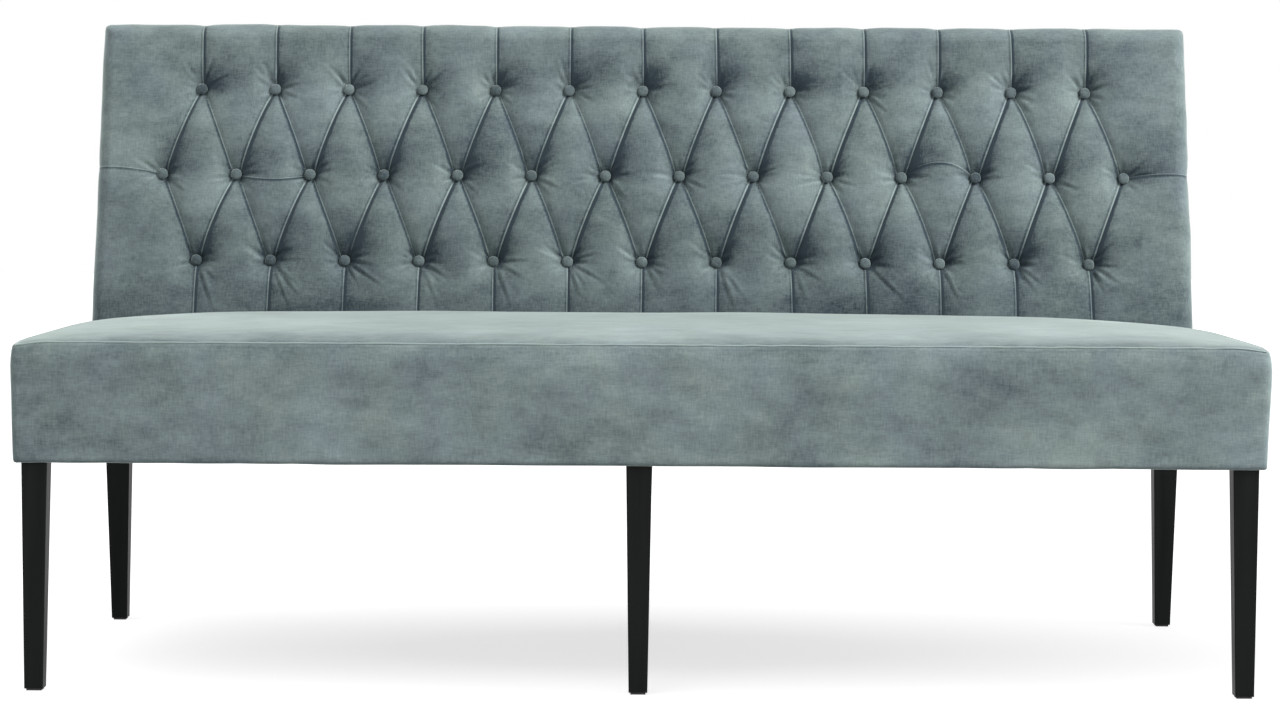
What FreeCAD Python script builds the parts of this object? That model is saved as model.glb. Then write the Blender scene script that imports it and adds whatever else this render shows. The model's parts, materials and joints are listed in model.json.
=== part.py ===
import FreeCAD, Part
import math
import os
import re

import Sketcher
from FreeCAD import Placement, Rotation, Vector

# A three-seat dining bench: boxed upholstered seat, deep-buttoned back, six tapered legs.
# X runs along the bench, Y towards the back, Z up; the floor is Z = 0.

# Driving sizes in millimetres and degrees; counts and shares say so in their names.
SIZES = {
    # Whole bench
    "bench_width": 1710,
    "bench_depth": 628,
    "leg_height": 309,
    "border_height": 161,
    "back_height": 465,
    # Legs
    "front_leg_top_width": 35,
    "front_leg_top_depth": 25,
    "front_leg_foot_width": 25.5,
    "front_leg_foot_depth": 19,
    "rear_leg_top_width": 39,
    "rear_leg_top_depth": 27,
    "rear_leg_foot_width": 24,
    "rear_leg_foot_depth": 20,
    "rear_leg_rake": 18,
    "leg_inset": 9,
    "leg_edge_radius": 1.5,
    "glide_edge": 2.5,
    "glide_thickness": 3,
    # Leg fixings
    "leg_screw_diameter": 8,
    "leg_screw_depth": 42,
    "leg_screw_bite": 25,
    # Seat frame
    "rail_thickness": 25,
    "rail_height": 95,
    "cross_rail_thickness": 22,
    "cross_rail_height": 60,
    "cross_rail_share": 0.5,
    "corner_block_side": 62,
    "corner_block_height": 40,
    "tenon_thickness": 10,
    "tenon_length": 15,
    "tenon_shoulder": 12,
    "tenon_gap": 5,
    # Seat upholstery
    "cover_thickness": 2,
    "wadding_thickness": 10,
    "border_draw_in": 8,
    "seat_corner_radius": 26,
    "seat_crown": 17,
    "seam_rise": 4,
    "crown_shoulder": 70,
    "crown_reach": 190,
    "hem_width": 22,
    "webbing_width": 60,
    "webbing_thickness": 2,
    "webbing_edge": 4,
    "webbing_count": 13,
    "dust_cover_thickness": 1,
    "dust_cover_edge": 5,
    # Back frame
    "back_lean": 8.9,
    "post_bend_drop": 40,
    "post_width": 50,
    "post_depth": 32,
    "inner_post_width": 36,
    "inner_post_columns": 2.25,
    "back_rail_height": 58,
    "lower_rail_lift": 20,
    "back_panel_thickness": 6,
    "back_panel_lift": 12,
    "liner_thickness": 6,
    # Deep-buttoned back
    "pad_depth": 46,
    "back_edge_roll": 26,
    "back_corner_radius": 30,
    "back_seat_gap": 2,
    "tuft_side_margin": 103,
    "tuft_top_margin": 106,
    "tuft_bottom_margin": 130,
    "tuft_depth": 17,
    "tuft_gaps_count": 13,
    "pleat_depth": 6.5,
    "pleat_foot_depth": 4,
    "pleat_notch": 2,
    "button_diameter": 18,
    "button_height": 9,
    "button_rim": 3,
    "button_seat_depth": 13.5,
    "button_clearance": 0.3,
    "button_sides_count": 10,
    "cut_overrun": 5,
}

# Heights of the crown's poles across the seat, from an end to the middle and from front to back.
CROWN_END_SHARES = (0.0, 0.62, 1.0, 1.0)
CROWN_DEPTH_SHARES = (0.0, 0.62, 1.0, 1.0, 0.86, 0.74)
# How full the boxed border is at each level between hem and seam.
BORDER_LEVEL_SHARES = (0.0, 0.4, 0.76, 0.92, 1.0, 1.15)
BORDER_FULL_SHARES = (0.0, 0.75, 1.0, 0.72, 0.0, -2.0)

# Places worked out from the driving sizes, as expressions for the sheet.
SEAM = "(leg_height + border_height)"
RAIL_BASE = "(leg_height + cover_thickness)"
RAIL_TOP = f"({RAIL_BASE} + rail_height)"
FOAM_BASE = f"({RAIL_TOP} + webbing_thickness)"
FRAME_SIDE = "(bench_width / 2 - cover_thickness - wadding_thickness)"
FRAME_FRONT = "(cover_thickness + wadding_thickness - bench_depth / 2)"
WRAP = "(cover_thickness + wadding_thickness)"
PAD_REACH = "(pad_depth + back_panel_thickness)"
BACK_REAR = "(post_depth + liner_thickness)"
BEND = f"({SEAM} - post_bend_drop)"
BACK_RISE = (
    f"((back_height + post_bend_drop - ({PAD_REACH} - back_edge_roll) * sin(back_lean))"
    " / cos(back_lean))"
)
COVER_RISE = f"({BACK_RISE} - border_draw_in)"
POST_FRONT = (
    f"(bench_depth / 2 - ({BACK_REAR} + cover_thickness) * cos(back_lean)"
    f" - {COVER_RISE} * sin(back_lean))"
)
FRONT_RAIL_INNER = f"({FRAME_FRONT} + rail_thickness)"
REAR_RAIL_INNER = f"({POST_FRONT} - rail_thickness)"
FRONT_LEG_Y = f"({FRAME_FRONT} + rail_thickness / 2)"
REAR_LEG_Y = f"({POST_FRONT} - rail_thickness / 2)"
FRONT_LEG_X = f"({FRAME_SIDE} - leg_inset - front_leg_top_width / 2)"
REAR_LEG_X = f"({FRAME_SIDE} - leg_inset - rear_leg_top_width / 2)"
SIDE_RAIL_X = f"({FRAME_SIDE} - rail_thickness / 2)"
CROSS_RAIL_X = f"({SIDE_RAIL_X} * cross_rail_share)"
CROSS_RAIL_BASE = f"({RAIL_BASE} + leg_screw_bite)"
TENON_BASE = f"({CROSS_RAIL_BASE} + tenon_gap)"
TENON_TOP = f"({CROSS_RAIL_BASE} + cross_rail_height - tenon_gap)"
SEAT_REAR = (
    f"({POST_FRONT} - {PAD_REACH} / cos(back_lean) + post_bend_drop * tan(back_lean)"
    " - back_seat_gap)"
)
BUTTON_PITCH = "((bench_width - 2 * tuft_side_margin) / tuft_gaps_count)"
TOP_ROW = f"({BACK_RISE} - tuft_top_margin)"
BOTTOM_ROW = "tuft_bottom_margin"
MIDDLE_ROW = f"(({TOP_ROW} + {BOTTOM_ROW}) / 2)"
INNER_POST_X = f"({BUTTON_PITCH} * inner_post_columns)"
END_POST_INNER = f"({FRAME_SIDE} - post_width)"
TOP_RAIL_TOP = f"({BACK_RISE} - {WRAP})"
TOP_RAIL_BASE = f"({TOP_RAIL_TOP} - back_rail_height)"

doc = FreeCAD.newDocument("DiningBench")
sheet = doc.addObject("Spreadsheet::Sheet", "Sizes")
parts = []


def fill_sheet():
    """Write each driving size to the sheet beside its name."""
    for row, (alias, value) in enumerate(SIZES.items(), start=1):
        sheet.set(f"A{row}", alias)
        sheet.set(f"B{row}", str(value))
        sheet.setAlias(f"B{row}", alias)
    doc.recompute()


def link(text):
    """Point each size named in an expression at its cell."""
    return re.sub(r"[A-Za-z_]\w*", lambda word: cell(word.group(0)), text)


def cell(word):
    """Give the sheet's own form of a size name, and leave other words alone."""
    return f"Sizes.{word}" if word in SIZES else word


def size(text):
    """Work out an expression in the sheet's sizes."""
    return float(sheet.evalExpression(link(text)))


def new_body(label):
    """Start a body that becomes one sub-part."""
    body = doc.addObject("PartDesign::Body", label)
    body.Label = label
    return body


def keep(item):
    """List a document object among the sub-parts that are written out."""
    parts.append(item)
    return item


def keep_shape(label, shape):
    """Add a sub-part whose shape was worked out in code."""
    item = doc.addObject("Part::Feature", label)
    item.Label = label
    item.Shape = shape
    return keep(item)


def new_sketch(body, plane, name, lift="0"):
    """Add a sketch on one of the body's own planes, lifted along its normal."""
    sketch = body.newObject("Sketcher::SketchObject", f"{body.Name}_{name}")
    support = next(item for item in body.Origin.OriginFeatures if item.Role == plane)
    sketch.AttachmentSupport = [(support, "")]
    sketch.MapMode = "FlatFace"
    sketch.setExpression("AttachmentOffset.Base.z", link(lift))
    return sketch


def tie_point(sketch, geometry, point, across, up):
    """Hold one sketch point at two expressions measured from the sketch origin."""
    for kind, text in (("DistanceX", across), ("DistanceY", up)):
        constraint = Sketcher.Constraint(kind, -1, 1, geometry, point, size(text))
        index = sketch.addConstraint(constraint)
        sketch.setExpression(f"Constraints[{index}]", link(text))


def draw_outline(sketch, corners):
    """Draw a closed outline with every corner tied to the sheet."""
    points = [Vector(size(across), size(up), 0) for across, up in corners]
    count = len(points)
    lines = []
    for index in range(count):
        line = Part.LineSegment(points[index], points[(index + 1) % count])
        lines.append(sketch.addGeometry(line, False))
    for index in range(count):
        joined = Sketcher.Constraint("Coincident", lines[index], 2, lines[(index + 1) % count], 1)
        sketch.addConstraint(joined)
    for line, (across, up) in zip(lines, corners):
        tie_point(sketch, line, 1, across, up)


def draw_circles(sketch, circles):
    """Draw circles given as centre and diameter expressions."""
    for across, up, diameter in circles:
        centre = Vector(size(across), size(up), 0)
        ring = Part.Circle(centre, Vector(0, 0, 1), size(diameter) / 2)
        index = sketch.addGeometry(ring, False)
        tie_point(sketch, index, 3, across, up)
        constraint = Sketcher.Constraint("Diameter", index, size(diameter))
        held = sketch.addConstraint(constraint)
        sketch.setExpression(f"Constraints[{held}]", link(diameter))


def rectangle(left, right, low, high):
    """List the corners of a rectangle."""
    return [(left, low), (right, low), (right, high), (left, high)]


def pad(body, sketch, length, symmetric=False):
    """Pad a sketch along its normal, or both ways."""
    feature = body.newObject("PartDesign::Pad", f"{body.Name}_pad")
    feature.Profile = sketch
    feature.setExpression("Length", link(length))
    if symmetric:
        feature.SideType = "Symmetric"
    return feature


def pocket(body, sketch, depth, forward):
    """Cut a sketch into the body, forward along its normal or backward."""
    feature = body.newObject("PartDesign::Pocket", f"{body.Name}_pocket")
    feature.Profile = sketch
    feature.setExpression("Length", link(depth))
    feature.Reversed = forward
    return feature


def drill(body, plane, lift, circles, depth, forward):
    """Cut round holes from a lifted plane."""
    sketch = new_sketch(body, plane, "holes", lift)
    draw_circles(sketch, circles)
    return pocket(body, sketch, depth, forward)


def mortise(body, plane, lift, outlines, depth, forward):
    """Cut mortises from a lifted plane."""
    sketch = new_sketch(body, plane, "mortises", lift)
    for corners in outlines:
        draw_outline(sketch, corners)
    return pocket(body, sketch, depth, forward)


def group(label, pattern, places):
    """Repeat a pattern piece at its places as one sub-part of separate solids."""
    doc.recompute()
    copies = []
    for place in places:
        copy = pattern.Shape.copy()
        copy.Placement = place
        copies.append(copy)
    return keep_shape(label, Part.makeCompound(copies))


def lean_point(depth, rise):
    """Place a point behind the post faces and up the lean, in the side view."""
    across = f"({POST_FRONT} + ({depth}) * cos(back_lean) + ({rise}) * sin(back_lean))"
    up = f"({BEND} - ({depth}) * sin(back_lean) + ({rise}) * cos(back_lean))"
    return across, up


def bend_point(depth):
    """Place a point where the upright part of the back turns into the lean."""
    return f"({POST_FRONT} + ({depth}))", f"({BEND} - ({depth}) * tan(back_lean / 2))"


def dog_leg(front, rear, base, rise):
    """Outline a layer of the back that stands upright at the seat and leans above it."""
    return [
        (f"({POST_FRONT} + ({front}))", base),
        bend_point(front),
        lean_point(front, rise),
        lean_point(rear, rise),
        bend_point(rear),
        (f"({POST_FRONT} + ({rear}))", base),
    ]


def lean_place():
    """Place pieces that are drawn upright onto the leaning back."""
    turned = Rotation(Vector(-1, 0, 0), size("back_lean"))
    return Placement(Vector(0, size(POST_FRONT), size(BEND)), turned)


def bind_lean(item):
    """Tie a piece drawn upright to the lean of the back."""
    item.Placement = lean_place()
    item.setExpression("Placement.Base.y", link(POST_FRONT))
    item.setExpression("Placement.Base.z", link(BEND))
    item.setExpression("Placement.Rotation.Angle", link("back_lean"))


def signed(sign, text):
    """Mirror an expression to the left side of the bench."""
    return f"({sign} * {text})"


# Legs


def taper(foot_centre, foot_size, top_centre, top_size):
    """Outline one view of a leg from its glide to the seat."""
    return [
        (f"{foot_centre} - {foot_size} / 2", "glide_thickness"),
        (f"{foot_centre} + {foot_size} / 2", "glide_thickness"),
        (f"{top_centre} + {top_size} / 2", "leg_height"),
        (f"{top_centre} - {top_size} / 2", "leg_height"),
    ]


def build_leg(label, x, y, kind, rake):
    """Pad a leg's front view, cut it to its side view, round its edges and drill its top."""
    body = new_body(label)
    front = new_sketch(body, "XZ_Plane", "front", signed(-1, y))
    draw_outline(front, taper(x, f"{kind}_leg_foot_width", x, f"{kind}_leg_top_width"))
    reach = f"({kind}_leg_top_depth + {rake} + cut_overrun)"
    pad(body, front, f"2 * {reach}", symmetric=True)
    side = new_sketch(body, "YZ_Plane", "side", f"{x} - {kind}_leg_top_width")
    low = "glide_thickness - cut_overrun"
    high = "leg_height + cut_overrun"
    outside = f"({reach} + cut_overrun)"
    draw_outline(side, rectangle(f"{y} - {outside}", f"{y} + {outside}", low, high))
    foot = f"{y} + {rake}"
    draw_outline(side, taper(foot, f"{kind}_leg_foot_depth", y, f"{kind}_leg_top_depth"))
    shaped = pocket(body, side, f"2 * {kind}_leg_top_width", True)
    doc.recompute()
    long_edges = [
        f"Edge{number}"
        for number, edge in enumerate(shaped.Shape.Edges, start=1)
        if edge.BoundBox.ZLength > size("leg_height") / 2
    ]
    fillet = body.newObject("PartDesign::Fillet", f"{body.Name}_fillet")
    fillet.Base = (shaped, long_edges)
    fillet.setExpression("Radius", link("leg_edge_radius"))
    drill(body, "XY_Plane", "leg_height", [(x, y, "leg_screw_diameter")], "leg_screw_depth", False)
    return keep(body)


def leg_places():
    """List name, axis and kind of the six legs."""
    places = []
    for kind, x, y in (("front", FRONT_LEG_X, FRONT_LEG_Y), ("rear", REAR_LEG_X, REAR_LEG_Y)):
        places.append((f"{kind}_left_leg", signed(-1, x), y, kind))
        places.append((f"{kind}_centre_leg", "0", y, kind))
        places.append((f"{kind}_right_leg", x, y, kind))
    return places


def build_legs():
    """Build the six legs with their double-ended screws and felt glides."""
    screws = []
    glides = []
    for label, x, y, kind in leg_places():
        rake = "rear_leg_rake" if kind == "rear" else "0"
        build_leg(label, x, y, kind, rake)
        root = Vector(size(x), size(y), size("leg_height - leg_screw_depth"))
        screws.append(Placement(root, Rotation()))
        glides.append(glide(x, f"{y} + {rake}", kind))
    group("leg_screws", leg_screw(), screws)
    keep_shape("leg_glides", Part.makeCompound(glides))


def leg_screw():
    """Make the double-ended screw that joins a leg to its rail."""
    screw = doc.addObject("Part::Cylinder", "leg_screw_pattern")
    screw.setExpression("Radius", link("leg_screw_diameter / 2"))
    screw.setExpression("Height", link("leg_screw_depth + cover_thickness + leg_screw_bite"))
    doc.recompute()
    return screw


def glide(x, y, kind):
    """Make the felt glide stuck under a foot."""
    width = size(f"{kind}_leg_foot_width - 2 * glide_edge")
    depth = size(f"{kind}_leg_foot_depth - 2 * glide_edge")
    corner = Vector(size(x) - width / 2, size(y) - depth / 2, 0)
    return Part.makeBox(width, depth, size("glide_thickness"), corner)


# Seat frame


def joint_columns():
    """List where side and cross rails meet the long rails."""
    return [signed(-1, SIDE_RAIL_X), signed(-1, CROSS_RAIL_X), "0", CROSS_RAIL_X, SIDE_RAIL_X]


def build_long_rail(label, near, far, leg_x, leg_y, inner, forward):
    """Build the front or rear rail with mortises and holes for the leg screws."""
    body = new_body(label)
    section = new_sketch(body, "YZ_Plane", "section")
    draw_outline(section, rectangle(near, far, RAIL_BASE, RAIL_TOP))
    pad(body, section, f"2 * {FRAME_SIDE}", symmetric=True)
    screws = [(x, leg_y, "leg_screw_diameter") for x in (signed(-1, leg_x), "0", leg_x)]
    drill(body, "XY_Plane", RAIL_BASE, screws, "leg_screw_bite", True)
    half = "tenon_thickness / 2"
    outlines = [
        rectangle(f"{x} - {half}", f"{x} + {half}", TENON_BASE, TENON_TOP) for x in joint_columns()
    ]
    mortise(body, "XZ_Plane", signed(-1, inner), outlines, "tenon_length", forward)
    return keep(body)


def add_tenons(body, x):
    """Add the tenons at both ends of a rail that runs from front to back."""
    half = "tenon_thickness / 2"
    front = f"({FRONT_RAIL_INNER} - tenon_length)"
    rear = f"({REAR_RAIL_INNER} + tenon_length)"
    plan = new_sketch(body, "XY_Plane", "tenons", TENON_BASE)
    draw_outline(plan, rectangle(f"{x} - {half}", f"{x} + {half}", front, rear))
    pad(body, plan, f"{TENON_TOP} - {TENON_BASE}")


def build_side_rail(label, sign):
    """Build a side rail tenoned between the long rails."""
    body = new_body(label)
    plan = new_sketch(body, "XY_Plane", "plan", RAIL_BASE)
    outer = signed(sign, FRAME_SIDE)
    inner = signed(sign, f"({FRAME_SIDE} - rail_thickness)")
    draw_outline(plan, rectangle(inner, outer, FRONT_RAIL_INNER, REAR_RAIL_INNER))
    pad(body, plan, "rail_height")
    add_tenons(body, signed(sign, SIDE_RAIL_X))
    return keep(body)


def build_cross_rails():
    """Build the three cross rails that stiffen the seat frame."""
    body = new_body("cross_rail_pattern")
    plan = new_sketch(body, "XY_Plane", "plan", CROSS_RAIL_BASE)
    half = "cross_rail_thickness / 2"
    draw_outline(plan, rectangle(f"-{half}", half, FRONT_RAIL_INNER, REAR_RAIL_INNER))
    pad(body, plan, "cross_rail_height")
    add_tenons(body, "0")
    step = size(CROSS_RAIL_X)
    places = [Placement(Vector(x, 0, 0), Rotation()) for x in (-step, 0, step)]
    group("seat_cross_rails", body, places)


def build_corner_blocks():
    """Build the four glued blocks in the inner corners of the seat frame."""
    body = new_body("corner_block_pattern")
    plan = new_sketch(body, "XY_Plane", "plan")
    draw_outline(plan, [("0", "0"), ("0", "-corner_block_side"), ("-corner_block_side", "0")][::-1])
    pad(body, plan, "corner_block_height")
    side = size(f"{FRAME_SIDE} - rail_thickness")
    base = size(f"{RAIL_TOP} - corner_block_height")
    front = size(FRONT_RAIL_INNER)
    rear = size(REAR_RAIL_INNER)
    corners = [(side, rear, 0), (-side, rear, 90), (-side, front, 180), (side, front, 270)]
    places = [
        Placement(Vector(x, y, base), Rotation(Vector(0, 0, 1), angle)) for x, y, angle in corners
    ]
    group("seat_corner_blocks", body, places)


def build_webbing():
    """Lay elastic straps from the front rail to the rear rail."""
    strap = doc.addObject("Part::Box", "webbing_pattern")
    strap.setExpression("Length", link("webbing_width"))
    strap.setExpression("Width", link(f"{POST_FRONT} - {FRAME_FRONT} - 2 * webbing_edge"))
    strap.setExpression("Height", link("webbing_thickness"))
    count = int(size("webbing_count"))
    pitch = size(f"2 * ({FRAME_SIDE} - rail_thickness) / webbing_count")
    first = -pitch * (count - 1) / 2 - size("webbing_width / 2")
    y = size(f"{FRAME_FRONT} + webbing_edge")
    places = [
        Placement(Vector(first + pitch * number, y, size(RAIL_TOP)), Rotation())
        for number in range(count)
    ]
    group("seat_webbing", strap, places)


def build_dust_cover():
    """Close the underside between the legs with a thin cloth."""
    front = f"({FRONT_LEG_Y} + front_leg_top_depth / 2 + dust_cover_edge)"
    rear = f"({REAR_LEG_Y} - rear_leg_top_depth / 2 - dust_cover_edge)"
    half = f"({FRAME_SIDE} - dust_cover_edge)"
    cloth = doc.addObject("Part::Box", "dust_cover")
    cloth.Label = "dust_cover"
    cloth.setExpression("Length", link(f"2 * {half}"))
    cloth.setExpression("Width", link(f"{rear} - {front}"))
    cloth.setExpression("Height", link("dust_cover_thickness"))
    cloth.setExpression("Placement.Base.x", link(f"-{half}"))
    cloth.setExpression("Placement.Base.y", link(front))
    cloth.setExpression("Placement.Base.z", link("leg_height - dust_cover_thickness"))
    keep(cloth)


def build_seat_frame():
    """Build the wooden seat frame and its webbing."""
    build_long_rail(
        "seat_front_rail", FRAME_FRONT, FRONT_RAIL_INNER, FRONT_LEG_X, FRONT_LEG_Y,
        FRONT_RAIL_INNER, True,
    )
    build_long_rail(
        "seat_rear_rail", REAR_RAIL_INNER, POST_FRONT, REAR_LEG_X, REAR_LEG_Y,
        REAR_RAIL_INNER, False,
    )
    build_side_rail("seat_left_rail", -1)
    build_side_rail("seat_right_rail", 1)
    build_cross_rails()
    build_corner_blocks()
    build_webbing()


# Seat upholstery


def border_section(inset, share, full):
    """Draw the seat's plan at one level: rounded at the front corners, square at the back."""
    draw = size("border_draw_in") * (full - 1) - inset
    half = size("bench_width / 2") + draw
    front = -size("bench_depth / 2") - draw
    rear = size(f"{POST_FRONT} + {BACK_REAR}")
    z = size("leg_height") + inset + (size("border_height") - inset) * share
    radius = size("seat_corner_radius") - inset
    tilt = radius * (1 - math.sqrt(0.5))
    left_arc = Part.Arc(
        Vector(-half, front + radius, z),
        Vector(-half + tilt, front + tilt, z),
        Vector(-half + radius, front, z),
    )
    right_arc = Part.Arc(
        Vector(half - radius, front, z),
        Vector(half - tilt, front + tilt, z),
        Vector(half, front + radius, z),
    )
    edges = [
        Part.LineSegment(Vector(-half, rear, z), Vector(-half, front + radius, z)).toShape(),
        left_arc.toShape(),
        Part.LineSegment(Vector(-half + radius, front, z), Vector(half - radius, front, z)).toShape(),
        right_arc.toShape(),
        Part.LineSegment(Vector(half, front + radius, z), Vector(half, rear, z)).toShape(),
        Part.LineSegment(Vector(half, rear, z), Vector(-half, rear, z)).toShape(),
    ]
    return Part.Wire(edges)


def crown_solid(inset):
    """Make the space under the seat's crowned top, down past the floor of the seat."""
    overrun = size("cut_overrun")
    side = size("bench_width / 2") + overrun
    front = -size("bench_depth / 2") - overrun
    rear = size(f"{POST_FRONT} + {BACK_REAR}") + overrun
    shoulder = size("crown_shoulder")
    reach = size("crown_reach")
    seat_rear = size(SEAT_REAR)
    columns = [-side, -side + shoulder, -side + reach, -side / 2, side / 2, side - reach]
    columns += [side - shoulder, side]
    end_shares = CROWN_END_SHARES + CROWN_END_SHARES[::-1]
    middle = (front + seat_rear) / 2
    rows = [front, front + shoulder, front + reach, middle, seat_rear - shoulder, rear]
    base = size(SEAM) - inset
    poles = []
    for x, end in zip(columns, end_shares):
        lift = size("seam_rise") * end
        crown = size("seat_crown") * end
        poles.append(
            [Vector(x, y, base + lift + crown * share) for y, share in zip(rows, CROWN_DEPTH_SHARES)]
        )
    surface = Part.BSplineSurface()
    knots_u, multiples_u = clamped_knots(len(columns))
    knots_v, multiples_v = clamped_knots(len(rows))
    surface.buildFromPolesMultsKnots(poles, multiples_u, multiples_v, knots_u, knots_v, False, False, 3, 3)
    return surface.toShape().extrude(Vector(0, 0, -size(SEAM)))


def clamped_knots(count):
    """List the knots of a cubic that ends on its first and last poles."""
    spans = count - 3
    knots = [index / spans for index in range(spans + 1)]
    multiples = [4] + [1] * (spans - 1) + [4]
    return knots, multiples


def seat_form(inset):
    """Shape the boxed seat, drawn in by an inset on every covered face."""
    sections = [
        border_section(inset, share, full)
        for share, full in zip(BORDER_LEVEL_SHARES, BORDER_FULL_SHARES)
    ]
    loft = Part.makeLoft(sections, True, True)
    return loft.common(crown_solid(inset))


def block(half_width, front, rear, base, top):
    """Make a box centred on the bench from its faces."""
    corner = Vector(-half_width, front, base)
    return Part.makeBox(2 * half_width, rear - front, top - base, corner)


def build_seat_upholstery():
    """Build the foam, wrapped over the rails, and the sewn cover."""
    overrun = size("cut_overrun")
    cover = size("cover_thickness")
    side = size(FRAME_SIDE)
    front = size(FRAME_FRONT)
    rear = size(f"{POST_FRONT} + {BACK_REAR}")
    high = size(f"{SEAM} + back_height")
    inner = seat_form(cover)
    frame_space = block(side, front, rear + overrun, 0, size(FOAM_BASE))
    pad_space = block(side, size(SEAT_REAR), rear + overrun, size(f"{SEAM} - {WRAP}"), high)
    foam_rear = size(f"{POST_FRONT} - back_panel_thickness - back_seat_gap")
    post_space = block(side, foam_rear, rear + overrun, 0, high)
    keep_shape("seat_foam", inner.cut(frame_space).cut(pad_space).cut(post_space))
    behind = block(side, size(SEAT_REAR), rear + overrun, size(RAIL_BASE), high)
    hem = size("hem_width")
    floor_hole = block(side - hem, front + hem, rear + overrun, 0, high)
    cover_shell = seat_form(0).cut(inner).cut(floor_hole).cut(behind)
    screw_holes = [
        Part.makeCylinder(size("leg_screw_diameter / 2"), size(SEAM), Vector(size(x), size(y), 0))
        for label, x, y, kind in leg_places()
    ]
    keep_shape("seat_cover", cover_shell.cut(Part.makeCompound(screw_holes)))


# Back frame


def back_tenon(base):
    """Give the section of a back rail's tenon, behind the post faces and up the lean."""
    near = "(post_depth - tenon_thickness) / 2"
    far = "(post_depth + tenon_thickness) / 2"
    return rectangle(near, far, f"{base} + tenon_shoulder", f"{base} + back_rail_height - tenon_shoulder")


def post_mortises(bases):
    """List the mortises of a post in the side view."""
    return [[lean_point(depth, rise) for depth, rise in back_tenon(base)] for base in bases]


def build_end_post(label, sign):
    """Build an end post: upright at the seat, leaning above it."""
    body = new_body(label)
    inner = signed(sign, END_POST_INNER)
    start = END_POST_INNER if sign > 0 else signed(-1, FRAME_SIDE)
    profile = new_sketch(body, "YZ_Plane", "profile", start)
    draw_outline(profile, dog_leg("0", "post_depth", RAIL_BASE, TOP_RAIL_TOP))
    pad(body, profile, "post_width")
    outlines = post_mortises((TOP_RAIL_BASE, "lower_rail_lift"))
    mortise(body, "YZ_Plane", inner, outlines, "tenon_length", sign > 0)
    keep(body)


def build_inner_posts():
    """Build the two inner posts under the top rail."""
    body = new_body("inner_post_pattern")
    profile = new_sketch(body, "YZ_Plane", "profile")
    draw_outline(profile, dog_leg("0", "post_depth", RAIL_BASE, TOP_RAIL_BASE))
    pad(body, profile, "inner_post_width", symmetric=True)
    outlines = post_mortises(("lower_rail_lift",))
    mortise(body, "YZ_Plane", "inner_post_width / 2", outlines, "tenon_length", False)
    mortise(body, "YZ_Plane", "-inner_post_width / 2", outlines, "tenon_length", True)
    step = size(INNER_POST_X)
    places = [Placement(Vector(x, 0, 0), Rotation()) for x in (-step, step)]
    group("back_inner_posts", body, places)


def build_back_rail(label, start, end, base):
    """Build a rail of the back, drawn upright and leaned, with a tenon at each end."""
    body = new_body(label)
    section = new_sketch(body, "YZ_Plane", "section", start)
    draw_outline(section, rectangle("0", "post_depth", base, f"{base} + back_rail_height"))
    pad(body, section, f"{end} - {start}")
    tenons = new_sketch(body, "YZ_Plane", "tenons", f"{start} - tenon_length")
    draw_outline(tenons, back_tenon(base))
    pad(body, tenons, f"{end} - {start} + 2 * tenon_length")
    bind_lean(body)
    keep(body)


def back_rail_spans():
    """List each back rail with its ends and base."""
    inner_near = f"({INNER_POST_X} - inner_post_width / 2)"
    inner_far = f"({INNER_POST_X} + inner_post_width / 2)"
    left = signed(-1, END_POST_INNER)
    low = "lower_rail_lift"
    return [
        ("back_top_rail", left, END_POST_INNER, TOP_RAIL_BASE),
        ("back_lower_left_rail", left, signed(-1, inner_far), low),
        ("back_lower_middle_rail", signed(-1, inner_near), inner_near, low),
        ("back_lower_right_rail", inner_far, END_POST_INNER, low),
    ]


def build_back_panel():
    """Build the plywood panel that carries the pad."""
    body = new_body("back_panel")
    outline = new_sketch(body, "XZ_Plane", "outline")
    left = signed(-1, FRAME_SIDE)
    draw_outline(outline, rectangle(left, FRAME_SIDE, "back_panel_lift", TOP_RAIL_TOP))
    pad(body, outline, "back_panel_thickness")
    bind_lean(body)
    keep(body)


def button_rows():
    """List the gaps and the rise of each row of buttons."""
    return [
        ("(tuft_gaps_count - 1)", TOP_ROW),
        ("tuft_gaps_count", MIDDLE_ROW),
        ("(tuft_gaps_count - 1)", BOTTOM_ROW),
    ]


def row_points(gaps, rise):
    """List the places of one row along the bench and up the lean."""
    pitch = size(BUTTON_PITCH)
    count = round(size(gaps))
    return [(pitch * (number - count / 2), size(rise)) for number in range(count + 1)]


def button_points():
    """List every button's place along the bench and up the lean."""
    return [point for gaps, rise in button_rows() for point in row_points(gaps, rise)]


def build_back_layer(label, half_width, front, rear, base, rise):
    """Build a sheet that follows the rear of the back from hem to top."""
    body = new_body(label)
    profile = new_sketch(body, "YZ_Plane", "profile")
    draw_outline(profile, dog_leg(front, rear, base, rise))
    pad(body, profile, f"2 * {half_width}", symmetric=True)
    keep(body)


def build_back_frame():
    """Build the wooden back, its panel and its rear layers."""
    build_end_post("back_left_post", -1)
    build_end_post("back_right_post", 1)
    build_inner_posts()
    for label, start, end, base in back_rail_spans():
        build_back_rail(label, start, end, base)
    build_back_panel()
    build_back_layer("back_liner", FRAME_SIDE, "post_depth", BACK_REAR, RAIL_BASE, TOP_RAIL_TOP)
    outer = "(bench_width / 2 - border_draw_in)"
    cover_rear = f"({BACK_REAR} + cover_thickness)"
    build_back_layer("back_outer_cover", outer, BACK_REAR, cover_rear, "leg_height", COVER_RISE)


# Deep-buttoned back


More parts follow.
